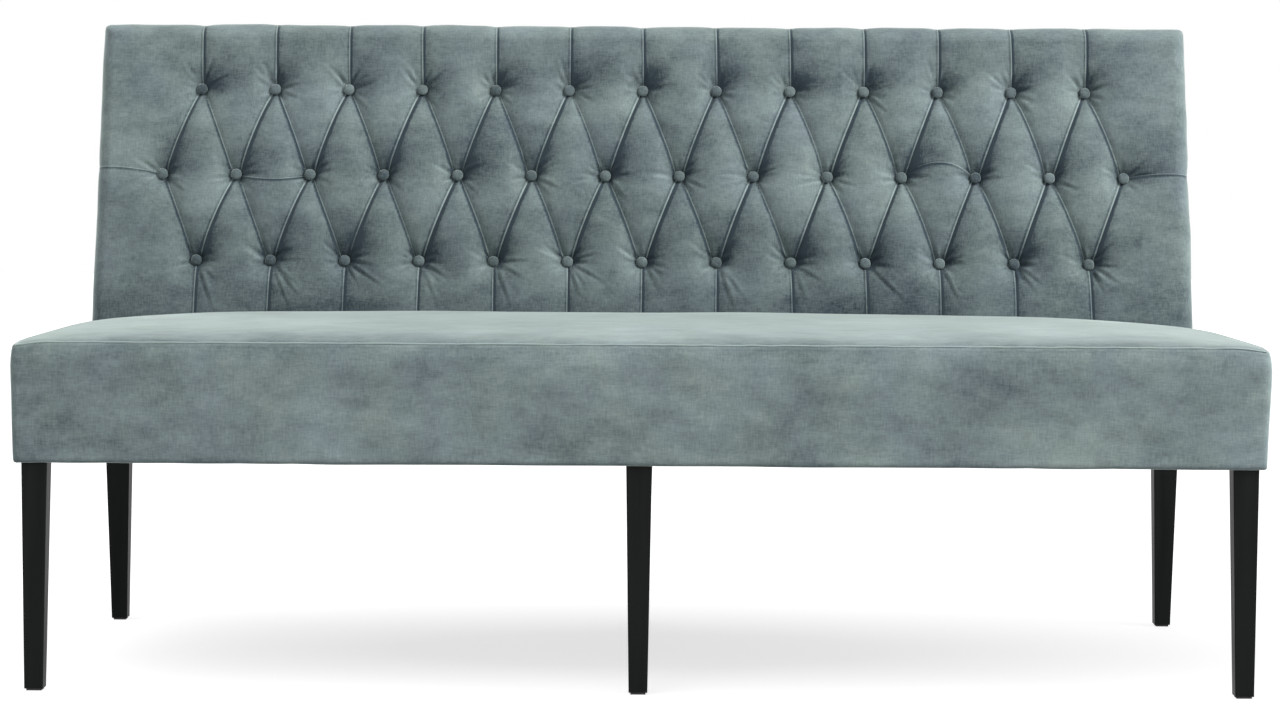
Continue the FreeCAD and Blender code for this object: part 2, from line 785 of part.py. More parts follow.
class Tufting:
    """Shapes the buttoned face from curved patches between buttons, pleats and edges.

    Points are (along the bench, behind the crests, up the lean).
    """

    def __init__(self):
        self.half = size("bench_width / 2")
        self.top = size(BACK_RISE)
        self.roll = size("back_edge_roll")
        self.sunk = size("tuft_depth")
        self.notch = size("pleat_notch")
        self.foot = size("pleat_foot_depth")
        self.pleat = (8 * size("pleat_depth") - 2 * self.sunk) / 6
        self.pillow = -(4 * self.sunk + 24 * self.pleat) / 36
        rows = [row_points(gaps, rise) for gaps, rise in button_rows()]
        self.upper, self.middle, self.lower = rows
        self.patches = []

    def button(self, point):
        """Place a button's root."""
        return Vector(point[0], self.sunk, point[1])

    def between(self, start, end, share):
        """Find a point part of the way along a line."""
        return start + (end - start) * share

    def at_depth(self, point, depth):
        """Move a point to a depth behind the crests."""
        return Vector(point.x, depth, point.z)

    def line(self, start, end, depth):
        """Curve between two roots that rises to a depth in between."""
        first = self.at_depth(self.between(start, end, 1 / 3), depth)
        second = self.at_depth(self.between(start, end, 2 / 3), depth)
        return [start, first, second, end]

    def to_edge(self, root, end, depth, edge_depth):
        """Curve from a root to the rolled edge, where it turns straight back."""
        first = self.at_depth(self.between(root, end, 1 / 3), depth)
        return [root, first, self.at_depth(end, edge_depth), end]

    def to_foot(self, root, end, depth):
        """Curve from a root down behind the seat."""
        first = self.at_depth(self.between(root, end, 1 / 3), depth)
        second = self.at_depth(self.between(root, end, 2 / 3), (depth + end.y) / 2)
        return [root, first, second, end]

    def top_pleat(self, point):
        """Give the pleat from a top button over the top edge."""
        end = Vector(point[0], self.roll, self.top - self.notch)
        return self.to_edge(self.button(point), end, self.pleat, self.pleat_edge())

    def pleat_edge(self):
        """Give a pleat's depth where it starts to turn over an edge."""
        return self.foot / 2

    def top_crest(self, point):
        """Give the soft crest from a middle button over the top edge."""
        end = Vector(point[0], self.roll, self.top)
        return self.to_edge(self.button(point), end, self.pillow, self.pillow)

    def foot_pleat(self, point):
        """Give the pleat from a bottom button down behind the seat."""
        return self.to_foot(self.button(point), Vector(point[0], self.foot, 0), self.pleat)

    def foot_crest(self, point):
        """Give the soft crest from a middle button down behind the seat."""
        return self.to_foot(self.button(point), Vector(point[0], 0, 0), self.pillow)

    def edge_line(self, start, end):
        """Follow an outer edge between two of its points."""
        first = self.between(start, end, 1 / 3)
        first = Vector(max(start.x, end.x, key=abs) if start.x == end.x else first.x, first.y, end.z)
        return [start, first, self.between(first, end, 1 / 2), end]

    def add(self, low, high, left, right, held=()):
        """Add a patch between four curves; held sides turn straight back at the edge."""
        poles = [[None] * 4 for count in range(4)]
        for index in range(4):
            poles[index][0] = low[index]
            poles[index][3] = high[index]
            poles[0][index] = left[index]
            poles[3][index] = right[index]
        for i in (1, 2):
            for j in (1, 2):
                poles[i][j] = self.inner_pole(poles, i, j, held)
        self.patches.append(poles)

    def inner_pole(self, poles, i, j, held):
        """Place an inner pole: at a held edge's own place, or blended from the sides."""
        across = self.between(poles[0][j], poles[3][j], i / 3)
        along = self.between(poles[i][0], poles[i][3], j / 3)
        low = self.between(poles[0][0], poles[3][0], i / 3)
        high = self.between(poles[0][3], poles[3][3], i / 3)
        place = across + along - self.between(low, high, j / 3)
        near_high = "high" in held and j == 2
        near_left = "left" in held and i == 1
        if near_high:
            place = poles[i][3]
        if near_left:
            place = poles[0][j]
        if near_high and near_left:
            place = Vector(poles[0][2].x, 0, poles[1][3].z)
        depth = self.pillow
        if "low" in held and j == 1:
            depth = (self.pillow + poles[i][0].y) / 2
        return self.at_depth(place, depth)

    def add_diamonds(self):
        """Add the full diamonds between the three rows."""
        for number, top in enumerate(self.upper):
            up = self.button(top)
            down = self.button(self.lower[number])
            left = self.button(self.middle[number])
            right = self.button(self.middle[number + 1])
            self.add(
                self.line(down, right, self.pleat),
                self.line(left, up, self.pleat),
                self.line(down, left, self.pleat),
                self.line(right, up, self.pleat),
            )

    def add_edge_cells(self):
        """Add the half cells along the top edge and along the seat."""
        for number in range(1, len(self.upper)):
            middle = self.middle[number]
            root = self.button(middle)
            for side in (number - 1, number):
                pleat = self.top_pleat(self.upper[side])
                crest = self.top_crest(middle)
                seam = self.line(root, pleat[0], self.pleat)
                self.add(seam, self.edge_line(pleat[3], crest[3])[::-1], crest, pleat, ("high",))
                pleat = self.foot_pleat(self.lower[side])
                crest = self.foot_crest(middle)
                seam = self.line(root, pleat[0], self.pleat)
                foot = self.line(crest[3], pleat[3], 0)
                self.add(foot, seam, crest[::-1], pleat[::-1], ("low",))

    def corner_curves(self):
        """Give the rounded upper corner and the side edge on the left."""
        radius = size("back_corner_radius")
        inset = radius * (1 - math.sqrt(0.5))
        reach = radius * math.tan(math.pi / 8) * math.sqrt(0.5)
        corner = Vector(inset - self.half, self.roll, self.top - inset)
        middle = self.middle[0][1]
        side = Vector(-self.half, self.roll, (middle + self.top) / 2)
        low_side = Vector(-self.half, self.roll, middle / 2)
        waist = Vector(self.notch - self.half, self.roll, middle)
        foot = Vector(-self.half, self.roll, 0)
        pleat_end = self.top_pleat(self.upper[0])[3]
        over = Vector(corner.x + reach, self.roll, self.top)
        top_edge = [corner, over, Vector((over.x + pleat_end.x) / 2, self.roll, self.top), pleat_end]
        down = Vector(-self.half, self.roll, corner.z - reach)
        upper_side = [side, self.between(side, down, 1 / 2), down, corner]
        return top_edge, upper_side, side, waist, low_side, foot

    def side_line(self, start, end):
        """Follow the side edge, full between its ends."""
        first = Vector(-self.half, self.roll, self.between(start, end, 1 / 3).z)
        second = Vector(-self.half, self.roll, self.between(start, end, 2 / 3).z)
        return [start, first, second, end]

    def add_corners(self):
        """Add the end cells beside the first and last buttons."""
        top_edge, upper_side, side, waist, low_side, foot = self.corner_curves()
        first = len(self.patches)
        top_root = self.button(self.upper[0])
        middle_root = self.button(self.middle[0])
        low_root = self.button(self.lower[0])
        crest = self.to_edge(top_root, side, self.pillow, self.pillow)[::-1]
        low_crest = self.to_edge(low_root, low_side, self.pillow, self.pillow)[::-1]
        waist_pleat = self.to_edge(middle_root, waist, self.pleat, self.pleat_edge())[::-1]
        pleat = self.top_pleat(self.upper[0])
        self.add(crest, top_edge, upper_side, pleat, ("high", "left"))
        upper_line = self.line(middle_root, top_root, self.pleat)
        self.add(waist_pleat, crest, self.side_line(waist, side), upper_line, ("left",))
        lower_line = self.line(low_root, middle_root, self.pleat)
        self.add(low_crest, waist_pleat, self.side_line(low_side, waist), lower_line, ("left",))
        foot_pleat = self.foot_pleat(self.lower[0])
        bottom = self.to_edge(foot_pleat[3], foot, 0, self.pillow)[::-1]
        self.add(bottom, low_crest, self.side_line(foot, low_side), foot_pleat[::-1], ("left",))
        for poles in self.patches[first:]:
            self.patches.append([[Vector(-pole.x, pole.y, pole.z) for pole in row] for row in poles])

    def faces(self):
        """Turn the patches into faces."""
        made = []
        for poles in self.patches:
            surface = Part.BezierSurface()
            surface.increase(3, 3)
            for i in range(4):
                for j in range(4):
                    surface.setPole(i + 1, j + 1, poles[i][j])
            made.append(surface.toShape())
        return made


def free_edges(faces, level):
    """Find the edges on the rolled outer edge and those along the foot."""
    rolled = []
    foot = []
    near = level / 1000
    for face in faces:
        for edge in face.Edges:
            box = edge.BoundBox
            if abs(box.YMin - level) < near and abs(box.YMax - level) < near:
                rolled.append(edge)
            elif box.ZMax < near:
                foot.append(edge)
    return rolled, foot


def tufted_solid():
    """Close the buttoned face with sides, foot and rear into one solid."""
    tufting = Tufting()
    tufting.add_diamonds()
    tufting.add_edge_cells()
    tufting.add_corners()
    faces = tufting.faces()
    roll = size("back_edge_roll")
    back = size(f"{PAD_REACH} + {BACK_REAR}")
    rolled, foot = free_edges(faces, roll)
    reach = Vector(0, back - roll, 0)
    sides = [edge.extrude(reach) for edge in rolled]
    half = size("bench_width / 2")
    rear_line = Part.makeLine(Vector(-half, back, 0), Vector(half, back, 0))
    ends = [
        Part.makeLine(Vector(x, roll, 0), Vector(x, back, 0)) for x in (-half, half)
    ]
    bottom = Part.Face(Part.Wire(Part.__sortEdges__(foot + ends + [rear_line])))
    moved = [edge.translated(reach) for edge in rolled]
    rear = Part.Face(Part.Wire(Part.__sortEdges__(moved + [rear_line])))
    shell = Part.makeShell(faces + sides + [bottom, rear])
    shell.sewShape()
    solid = Part.makeSolid(shell)
    if solid.Volume < 0:
        solid.reverse()
    return solid


def button_outline(radius):
    """Draw a button's outline with few sides, because it is repeated."""
    count = round(size("button_sides_count"))
    angles = [2 * math.pi * (number + 0.5) / count for number in range(count)]
    points = [Vector(radius * math.cos(angle), 0, radius * math.sin(angle)) for angle in angles]
    return Part.makePolygon(points + points[:1])


def button_seats():
    """Make the space that the buttons take in their dimples."""
    front = -size("tuft_depth")
    seat = size("button_seat_depth")
    face = Part.Face(button_outline(size("button_diameter / 2 + button_clearance")))
    tool = face.extrude(Vector(0, seat - front, 0))
    return Part.makeCompound([tool.translated(Vector(x, front, rise)) for x, rise in button_points()])


def build_back_pad():
    """Build the deep-buttoned pad that wraps round the back frame."""
    overrun = size("cut_overrun")
    side = size(FRAME_SIDE)
    rear = size(f"{PAD_REACH} + {BACK_REAR}") + overrun
    recess = block(side, size("pad_depth"), rear, -overrun, size(TOP_RAIL_TOP))
    solid = tufted_solid().cut(recess).cut(button_seats())
    solid.translate(Vector(0, -size(PAD_REACH), 0))
    place = lean_place()
    below = size(f"{SEAM} + back_seat_gap")
    depth = size("bench_depth")
    wide = size("bench_width")
    under = block(wide, -depth, depth, 0, below)
    under.Placement = place.inverse().multiply(under.Placement)
    pad_item = keep_shape("back_pad", solid.cut(under))
    pad_item.Placement = place


def button_solid():
    """Loft a covered button from its flat back over its rim to a domed face."""
    radius = size("button_diameter / 2")
    rim = size("button_rim")
    height = size("button_height")
    crown = Vector(0, -height, 0)
    levels = [(radius, 0), (radius, rim), (radius * math.sqrt(0.5), (rim + 2 * height) / 3)]
    rings = [button_outline(wide).translated(Vector(0, -deep, 0)) for wide, deep in levels]
    body = Part.makeLoft(rings, True, True)
    corners = [vertex.Point for vertex in rings[-1].OrderedVertexes]
    fan = [
        Part.Face(Part.makePolygon([start, end, crown, start]))
        for start, end in zip(corners, corners[1:] + corners[:1])
    ]
    shell = Part.makeShell(fan + [Part.Face(rings[-1])])
    shell.sewShape()
    return body.fuse(Part.makeSolid(shell)).removeSplitter()


def build_buttons():
    """Set a covered button in every dimple."""
    pattern = doc.addObject("Part::Feature", "button_pattern")
    pattern.Shape = button_solid()
    root = size(f"button_seat_depth - button_clearance - {PAD_REACH}")
    place = lean_place()
    places = [
        place.multiply(Placement(Vector(x, root, rise), Rotation())) for x, rise in button_points()
    ]
    group("back_buttons", pattern, places)


def write_parts():
    """Check every object and write one file for each sub-part."""
    doc.recompute()
    for item in doc.Objects:
        if "Invalid" in item.State or "Error" in item.State:
            raise RuntimeError(f"{item.Label} did not build: {item.State}")
    os.makedirs("parts", exist_ok=True)
    for item in parts:
        if item.Shape.isNull() or not item.Shape.isValid() or not item.Shape.Solids:
            raise RuntimeError(f"{item.Label} has no sound shape")
        item.Shape.exportStep(f"parts/{item.Label}.step")


fill_sheet()
build_legs()
build_seat_frame()
build_seat_upholstery()
build_dust_cover()
build_back_frame()
build_back_pad()
build_buttons()
write_parts()
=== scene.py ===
"""Looks of an upholstered dining bench with a deep-buttoned back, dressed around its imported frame."""

import json
import logging
import math
from dataclasses import dataclass, field, replace
from enum import Enum
from functools import cached_property

import bmesh
import bpy
import numpy as np
from mathutils import Matrix, Vector


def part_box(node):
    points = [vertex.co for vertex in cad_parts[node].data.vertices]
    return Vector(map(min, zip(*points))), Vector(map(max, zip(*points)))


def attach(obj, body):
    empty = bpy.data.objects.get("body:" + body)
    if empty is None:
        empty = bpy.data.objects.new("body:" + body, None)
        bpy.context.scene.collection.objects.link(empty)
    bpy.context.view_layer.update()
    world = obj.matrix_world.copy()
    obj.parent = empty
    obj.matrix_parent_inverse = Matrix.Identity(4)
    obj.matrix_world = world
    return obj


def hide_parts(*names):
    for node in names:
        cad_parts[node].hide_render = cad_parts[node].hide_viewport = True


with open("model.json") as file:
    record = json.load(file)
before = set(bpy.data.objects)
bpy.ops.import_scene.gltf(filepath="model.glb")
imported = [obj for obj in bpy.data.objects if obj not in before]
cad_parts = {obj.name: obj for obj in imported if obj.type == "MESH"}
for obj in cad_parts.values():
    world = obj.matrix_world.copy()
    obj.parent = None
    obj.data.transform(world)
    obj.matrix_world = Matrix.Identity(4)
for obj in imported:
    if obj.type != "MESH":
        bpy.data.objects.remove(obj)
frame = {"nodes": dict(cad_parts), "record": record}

LOG = logging.getLogger("bench")
ROOT = "root"
# Vertex values added to the velvet's colour: painted shade and highlights, and each button's random tone.
PAINTED_SHADE_AND_TONE = "painted_shade_and_tone"
MILLIMETRE = 0.001
TINY = 1e-9
LATTICE = 128
QUARTER_TURN = math.pi / 2.0
Array = np.ndarray
Shape = bmesh.types.BMesh
Piece = bpy.types.Object
Socket = bpy.types.NodeSocket
Material = bpy.types.Material
Spot = tuple[float, float]
Colour = Place = Factors = tuple[float, float, float]


class Row(Enum):
    """Rows of buttons on the back."""

    TOP = "top"
    MIDDLE = "middle"
    BOTTOM = "bottom"


class Run(Enum):
    """Ways in which a pleat runs over the back."""

    FALLING = "down to the right"
    RISING = "down to the left"
    UPRIGHT = "straight up or down"
    LEVEL = "sideways to the edge"


# Directions of the stray wrinkles at a row's buttons, in degrees anticlockwise from the right.
FANS = {
    Row.TOP: (-48.0, -22.0, 10.0, 32.0, 62.0, 76.0, 104.0, 118.0, 136.0),
    Row.MIDDLE: (-46.0, -26.0, 4.0, 26.0, 44.0, 150.0, 172.0, 196.0),
    Row.BOTTOM: (-68.0, -52.0, -36.0, -8.0, 20.0, 42.0, 142.0, 160.0, 204.0),
}
# Section of a tuck: millimetres to its shaded side, millimetres of lift, and painted shade (below 0) or
# painted highlight (above 0).
FOLD_SECTION = np.array(
    [
        (-5.2, 0.00, 0.00), (-3.4, 0.45, -0.14), (-2.2, 0.65, -0.26), (-1.5, 1.20, 0.04),
        (-0.7, 1.95, 0.44), (0.3, 2.00, 0.44), (0.9, 1.35, -0.05), (1.15, 0.75, -0.60),
        (2.0, 0.60, -0.90), (3.5, 0.55, -0.80), (5.2, 0.40, -0.36), (7.6, 0.00, 0.00),
    ]
)
# Half section of a button, as shares of its radius and its height.
BUTTON_SECTION = (
    (0.0, 0.0), (0.80, 0.0), (0.98, 0.14), (1.0, 0.34),
    (0.92, 0.60), (0.70, 0.84), (0.36, 0.97), (0.0, 1.0),
)


def smooth(share: Array) -> Array:
    """Ease a share from 0 to 1 with level ends."""
    kept = np.clip(share, 0.0, 1.0)
    return kept * kept * (3.0 - 2.0 * kept)


def bell(distance: Array, width: float) -> Array:
    """Give a bell curve of a distance."""
    return np.exp(-((distance / width) ** 2))


@dataclass(frozen=True)
class Fade:
    """An amount that dies away with distance."""

    amount: float
    reach: float

    def at(self, distance: Array) -> Array:
        """Give what is left of the amount at distances."""
        return self.amount * np.exp(-distance / self.reach)

    def grown(self, distance: Array) -> Array:
        """Give how much of the amount is gone at distances."""
        return self.amount * (1.0 - np.exp(-distance / self.reach))


@dataclass(frozen=True)
class Band:
    """A bell-shaped stripe at some distance from a line."""

    amount: float
    place: float
    width: float

    def at(self, distance: Array) -> Array:
        """Give the stripe's amount at distances."""
        return self.amount * bell(distance - self.place, self.width)


@dataclass(frozen=True)
class Waves:
    """Smooth repeatable unevenness over a plane, from a lattice of seeded values."""

    seed: int
    cell: float
    height: float

    def at(self, across: Array, along: Array) -> Array:
        """Read the unevenness at points of the plane.

        Args:
            across: First coordinates in metres.
            along: Second coordinates in metres.

        Returns:
            Values between plus and minus the height.
        """
        values = np.random.default_rng(self.seed).uniform(-1.0, 1.0, (LATTICE, LATTICE))
        p, q = across / self.cell + LATTICE / 2, along / self.cell + LATTICE / 2
        column, line = np.floor(p).astype(int), np.floor(q).astype(int)
        ease_p, ease_q = smooth(p - column), smooth(q - line)
        pairs = [
            [values[(line + up) % LATTICE, (column + over) % LATTICE] for over in (0, 1)] for up in (0, 1)
        ]
        low, high = (left + (right - left) * ease_p for left, right in pairs)
        return self.height * (low + (high - low) * ease_q)


def grid(columns: int, lines: int) -> tuple[Shape, Array, Array]:
    """Start a sheet from a grid.

    Args:
        columns: Faces along X.
        lines: Faces along Y.

    Returns:
        The new bmesh, and its points' shares of the way along X and along Y.
    """
    sheet = bmesh.new()
    bmesh.ops.create_grid(sheet, x_segments=columns, y_segments=lines, size=1.0)
    shares = (np.array([vertex.co[:] for vertex in sheet.verts]) + 1.0) / 2.0
    return sheet, shares[:, 0], shares[:, 1]


def move_points(sheet: Shape, places: Array) -> None:
    """Move the vertices of a bmesh to rows of coordinates."""
    for vertex, place in zip(sheet.verts, places.tolist()):
        vertex.co = place


def shade_points(shape: Shape, values: Array) -> None:
    """Keep one value per vertex for the velvet of a bmesh: painted shade or highlight, or a button's random
    tone.
    """
    layer = shape.verts.layers.float.new(PAINTED_SHADE_AND_TONE)
    for vertex, value in zip(shape.verts, values.tolist()):
        vertex[layer] = value


def face_outwards(shape: Shape) -> None:
    """Turn the faces of a bmesh outwards."""
    bmesh.ops.recalc_face_normals(shape, faces=shape.faces[:])


def open_edges(shape: Shape) -> list[bmesh.types.BMEdge]:
    """List the edges at the rim of a bmesh."""
    return [edge for edge in shape.edges if edge.is_boundary]


def join_shapes(whole: Shape, part: Shape) -> None:
    """Move one bmesh into another.

    Args:
        whole: The bmesh that grows.
        part: The bmesh that joins it, which is freed.
    """
    mesh = bpy.data.meshes.new("joined")
    part.to_mesh(mesh)
    part.free()
    whole.from_mesh(mesh)
    bpy.data.meshes.remove(mesh)


def new_object(name: str, shape: Shape) -> Piece:
    """Turn a bmesh into a smooth-shaded object of the scene.

    Args:
        name: Name of the object.
        shape: Its mesh, which is freed.

    Returns:
        The linked object.
    """
    mesh = bpy.data.meshes.new(name)
    shape.to_mesh(mesh)
    shape.free()
    mesh.shade_smooth()
    made = bpy.data.objects.new(name, mesh)
    bpy.context.scene.collection.objects.link(made)
    return made


def new_piece(name: str, shape: Shape, finish: Material, slot: str, *nodes: str) -> Piece:
    """Add a piece with its finish and its place in the frame.

    Args:
        name: Name of the piece.
        shape: Its mesh, which is freed.
        finish: Its material.
        slot: Name of the record's material slot; not used.
        nodes: Names of the frame's nodes that it stands for.

    Returns:
        The piece.
    """
    piece = new_object(name, shape)
    piece.data.materials.append(finish)
    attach(piece, ROOT)
    if nodes:
        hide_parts(*nodes)
    LOG.info("built %s with %d faces", piece.name, len(piece.data.polygons))
    return piece


@dataclass(frozen=True)
class ClothTrial:
    """A run of cloth simulation that swells a coarse sheet between its pinned points."""

    wide: float
    tall: float
    step: float
    pressure: float
    cap: float
    frames: int = 16
    stiffness: float = 12.0
    bending: float = 0.4
    quality: int = 4

    @property
    def columns(self) -> int:
        """Give the number of faces across the sheet."""
        return round(self.wide / self.step)

    @property
    def lines(self) -> int:
        """Give the number of faces up the sheet."""
        return round(self.tall / self.step)

    def shares(self) -> tuple[Array, Array]:
        """Give the sheet's points.

        Returns:
            Shares of the way across and up.
        """
        sheet, p, q = grid(self.columns, self.lines)
        sheet.free()
        return p, q

    def lifts(self, places: Array, pinned: Array, outward: Vector) -> Array:
        """Simulate the sheet and read how far it swells.

        Args:
            places: Where the sheet's points start.
            pinned: Which of them stay where they are.
            outward: Direction in which the pressure pushes.

        Returns:
            Lifts in metres, by line and column.
        """
        lifts = np.zeros((self.lines + 1, self.columns + 1))
        sheet, p, q = grid(self.columns, self.lines)
        move_points(sheet, places)
        piece = new_object("cloth_trial", sheet)
        self.set_cloth(piece, pinned)
        for number in range(1, self.frames + 1):
            bpy.context.scene.frame_set(number)
        mesh = piece.evaluated_get(bpy.context.evaluated_depsgraph_get()).data
        moved = np.empty(3 * len(places), dtype=np.float32)
        mesh.vertices.foreach_get("co", moved)
        swelled = (moved.reshape(-1, 3) - places) @ np.array(outward)
        line, column = np.rint(q * self.lines).astype(int), np.rint(p * self.columns).astype(int)
        lifts[line, column] = self.cap * np.tanh(swelled / self.cap)
        bpy.context.scene.frame_set(1)
        trial = piece.data
        bpy.data.objects.remove(piece)
        bpy.data.meshes.remove(trial)
        LOG.info("cloth swelled by up to %.1f mm", lifts.max() / MILLIMETRE)
        return lifts

    def set_cloth(self, piece: Piece, pinned: Array) -> None:
        """Give the sheet its cloth settings.

        Args:
            piece: The sheet.
            pinned: Which of its points stay where they are.
        """
        held = piece.vertex_groups.new(name="held")
        held.add(np.nonzero(pinned)[0].tolist(), 1.0, "REPLACE")
        cloth = piece.modifiers.new("cloth", "CLOTH")
        cloth.point_cache.frame_start, cloth.point_cache.frame_end = 1, self.frames
        settings = cloth.settings
        settings.quality = self.quality
        settings.vertex_group_mass = held.name
        settings.tension_stiffness = settings.compression_stiffness = self.stiffness
        settings.bending_stiffness = self.bending
        settings.use_pressure = True
        settings.uniform_pressure_force = self.pressure
        settings.effector_weights.gravity = 0.0

    def sample(self, lifts: Array, across: Array, along: Array) -> Array:
        """Read lifts between the coarse points.

        Args:
            lifts: Lifts by line and column.
            across: Shares of the way over the columns.
            along: Shares of the way over the lines.

        Returns:
            Lifts in metres.
        """
        p, q = np.clip(across, 0.0, 1.0) * self.columns, np.clip(along, 0.0, 1.0) * self.lines
        column = np.minimum(p.astype(int), self.columns - 1)
        line = np.minimum(q.astype(int), self.lines - 1)
        p, q = p - column, q - line
        low = lifts[line, column] * (1.0 - p) + lifts[line, column + 1] * p
        high = lifts[line + 1, column] * (1.0 - p) + lifts[line + 1, column + 1] * p
        return low * (1.0 - q) + high * q


class NodeBuilder:
    """Small helper that lays out a tree of nodes."""

    def __init__(self, tree: bpy.types.NodeTree) -> None:
        """Start on a tree."""
        self.tree = tree

    def add(self, kind: str, **settings: object) -> bpy.types.Node:
        """Add a node and set its own properties.

        Args:
            kind: Type of the node.
            settings: Properties of the node.

        Returns:
            The new node.
        """
        node = self.tree.nodes.new(kind)
        for name, value in settings.items():
            setattr(node, name, value)
        return node

    def feed(self, target: Socket, value: Socket | float | Colour) -> None:
        """Link a socket to another one, or set it to a number or a colour.

        Args:
            target: The socket that is fed.
            value: What it gets.
        """
        if isinstance(value, Socket):
            self.tree.links.new(value, target)
        else:
            target.default_value = (*value, 1.0) if target.type == "RGBA" else value

    def math(self, operation: str, first: Socket, second: Socket | float) -> Socket:
        """Join two values by arithmetic.

        Args:
            operation: Name of the operation.
            first: First value.
            second: Second value, a socket or a number.

        Returns:
            The result.
        """
        node = self.add("ShaderNodeMath", operation=operation)
        self.feed(node.inputs[0], first)
        self.feed(node.inputs[1], second)
        return node.outputs["Value"]

    def plus(self, first: Socket, second: Socket | float) -> Socket:
        """Add two values."""
        return self.math("ADD", first, second)

    def times(self, first: Socket, second: Socket | float) -> Socket:
        """Multiply two values."""
        return self.math("MULTIPLY", first, second)

    def seen(self) -> Socket:
        """Tell rays that the eye sees, also in a mirror or through glass, from those that only light.

        Returns:
            1 for a ray that is seen, otherwise 0.
        """
        rays = self.add("ShaderNodeLightPath").outputs
        mirrored = self.math("MAXIMUM", rays["Is Glossy Ray"], rays["Is Transmission Ray"])
        return self.math("MAXIMUM", rays["Is Camera Ray"], mirrored)


class ShaderBuilder(NodeBuilder):
    """Lays out a material's nodes on the piece's own coordinates."""

    def __init__(self, name: str) -> None:
        """Start a material with a principled shader.

        Args:
            name: Name of the material.
        """
        self.material = bpy.data.materials.new(name)
        self.material.use_nodes = True
        super().__init__(self.material.node_tree)
        self.place = self.add("ShaderNodeTexCoord").outputs["Object"]

    def finish(self, values: dict[str, Socket | float | Colour]) -> Material:
        """Set or link the sockets of the surface.

        Args:
            values: What each named socket gets.

        Returns:
            The material.
        """
        surface = self.tree.nodes["Principled BSDF"]
        for name, value in values.items():
            self.feed(surface.inputs[name], value)
        return self.material

    def stretched(self, factors: Factors) -> Socket:
        """Stretch the piece's coordinates.

        Args:
            factors: Factors on X, Y and Z.

        Returns:
            The stretched coordinates.
        """
        mapping = self.add("ShaderNodeMapping")
        self.feed(mapping.inputs["Scale"], factors)
        self.feed(mapping.inputs["Vector"], self.place)
        return mapping.outputs["Vector"]

    def noise(self, scale: float, detail: float, stretch: Factors = (1.0, 1.0, 1.0)) -> Socket:
        """Add noise on the piece's own coordinates.

        Args:
            scale: Waves per metre.
            detail: Octaves of finer noise.
            stretch: Factors on the coordinates.

        Returns:
            The noise's value.
        """
        noise = self.add("ShaderNodeTexNoise")
        self.feed(noise.inputs["Scale"], scale)
        self.feed(noise.inputs["Detail"], detail)
        self.feed(noise.inputs["Vector"], self.stretched(stretch))
        return noise.outputs["Fac"]

    def ramp(self, value: Socket, low: float, high: float) -> Socket:
        """Stretch a value's band to 0 to 1.

        Args:
            value: The socket to stretch.
            low: Value that becomes 0.
            high: Value that becomes 1.

        Returns:
            The stretched value.
        """
        node = self.add("ShaderNodeMapRange")
        self.feed(node.inputs["From Min"], low)
        self.feed(node.inputs["From Max"], high)
        self.feed(node.inputs["Value"], value)
        return node.outputs["Result"]

    def blend(self, share: Socket, low: Socket | Colour, high: Socket | Colour) -> Socket:
        """Blend two colours by a value.

        Args:
            share: Share of the second colour.
            low: First colour.
            high: Second colour.

        Returns:
            The blended colour.
        """
        node = self.add("ShaderNodeMix", data_type="RGBA")
        self.feed(node.inputs["Factor"], share)
        self.feed(node.inputs["A"], low)
        self.feed(node.inputs["B"], high)
        return node.outputs["Result"]

    def bump(self, height: Socket, strength: float, distance: float, below: Socket | None = None) -> Socket:
        """Add a bump layer.

        Args:
            height: Height from 0 to 1.
            strength: Strength of the bump.
            distance: Height of the bump in metres.
            below: Normal of the layer beneath.

        Returns:
            The bumped normal.
        """
        node = self.add("ShaderNodeBump")
        self.feed(node.inputs["Strength"], strength)
        self.feed(node.inputs["Distance"], distance)
        self.feed(node.inputs["Height"], height)
        if below is not None:
            self.feed(node.inputs["Normal"], below)
        return node.outputs["Normal"]

    def attribute(self, name: str) -> Socket:
        """Read a number kept on the vertices."""
        return self.add("ShaderNodeAttribute", attribute_name=name).outputs["Fac"]


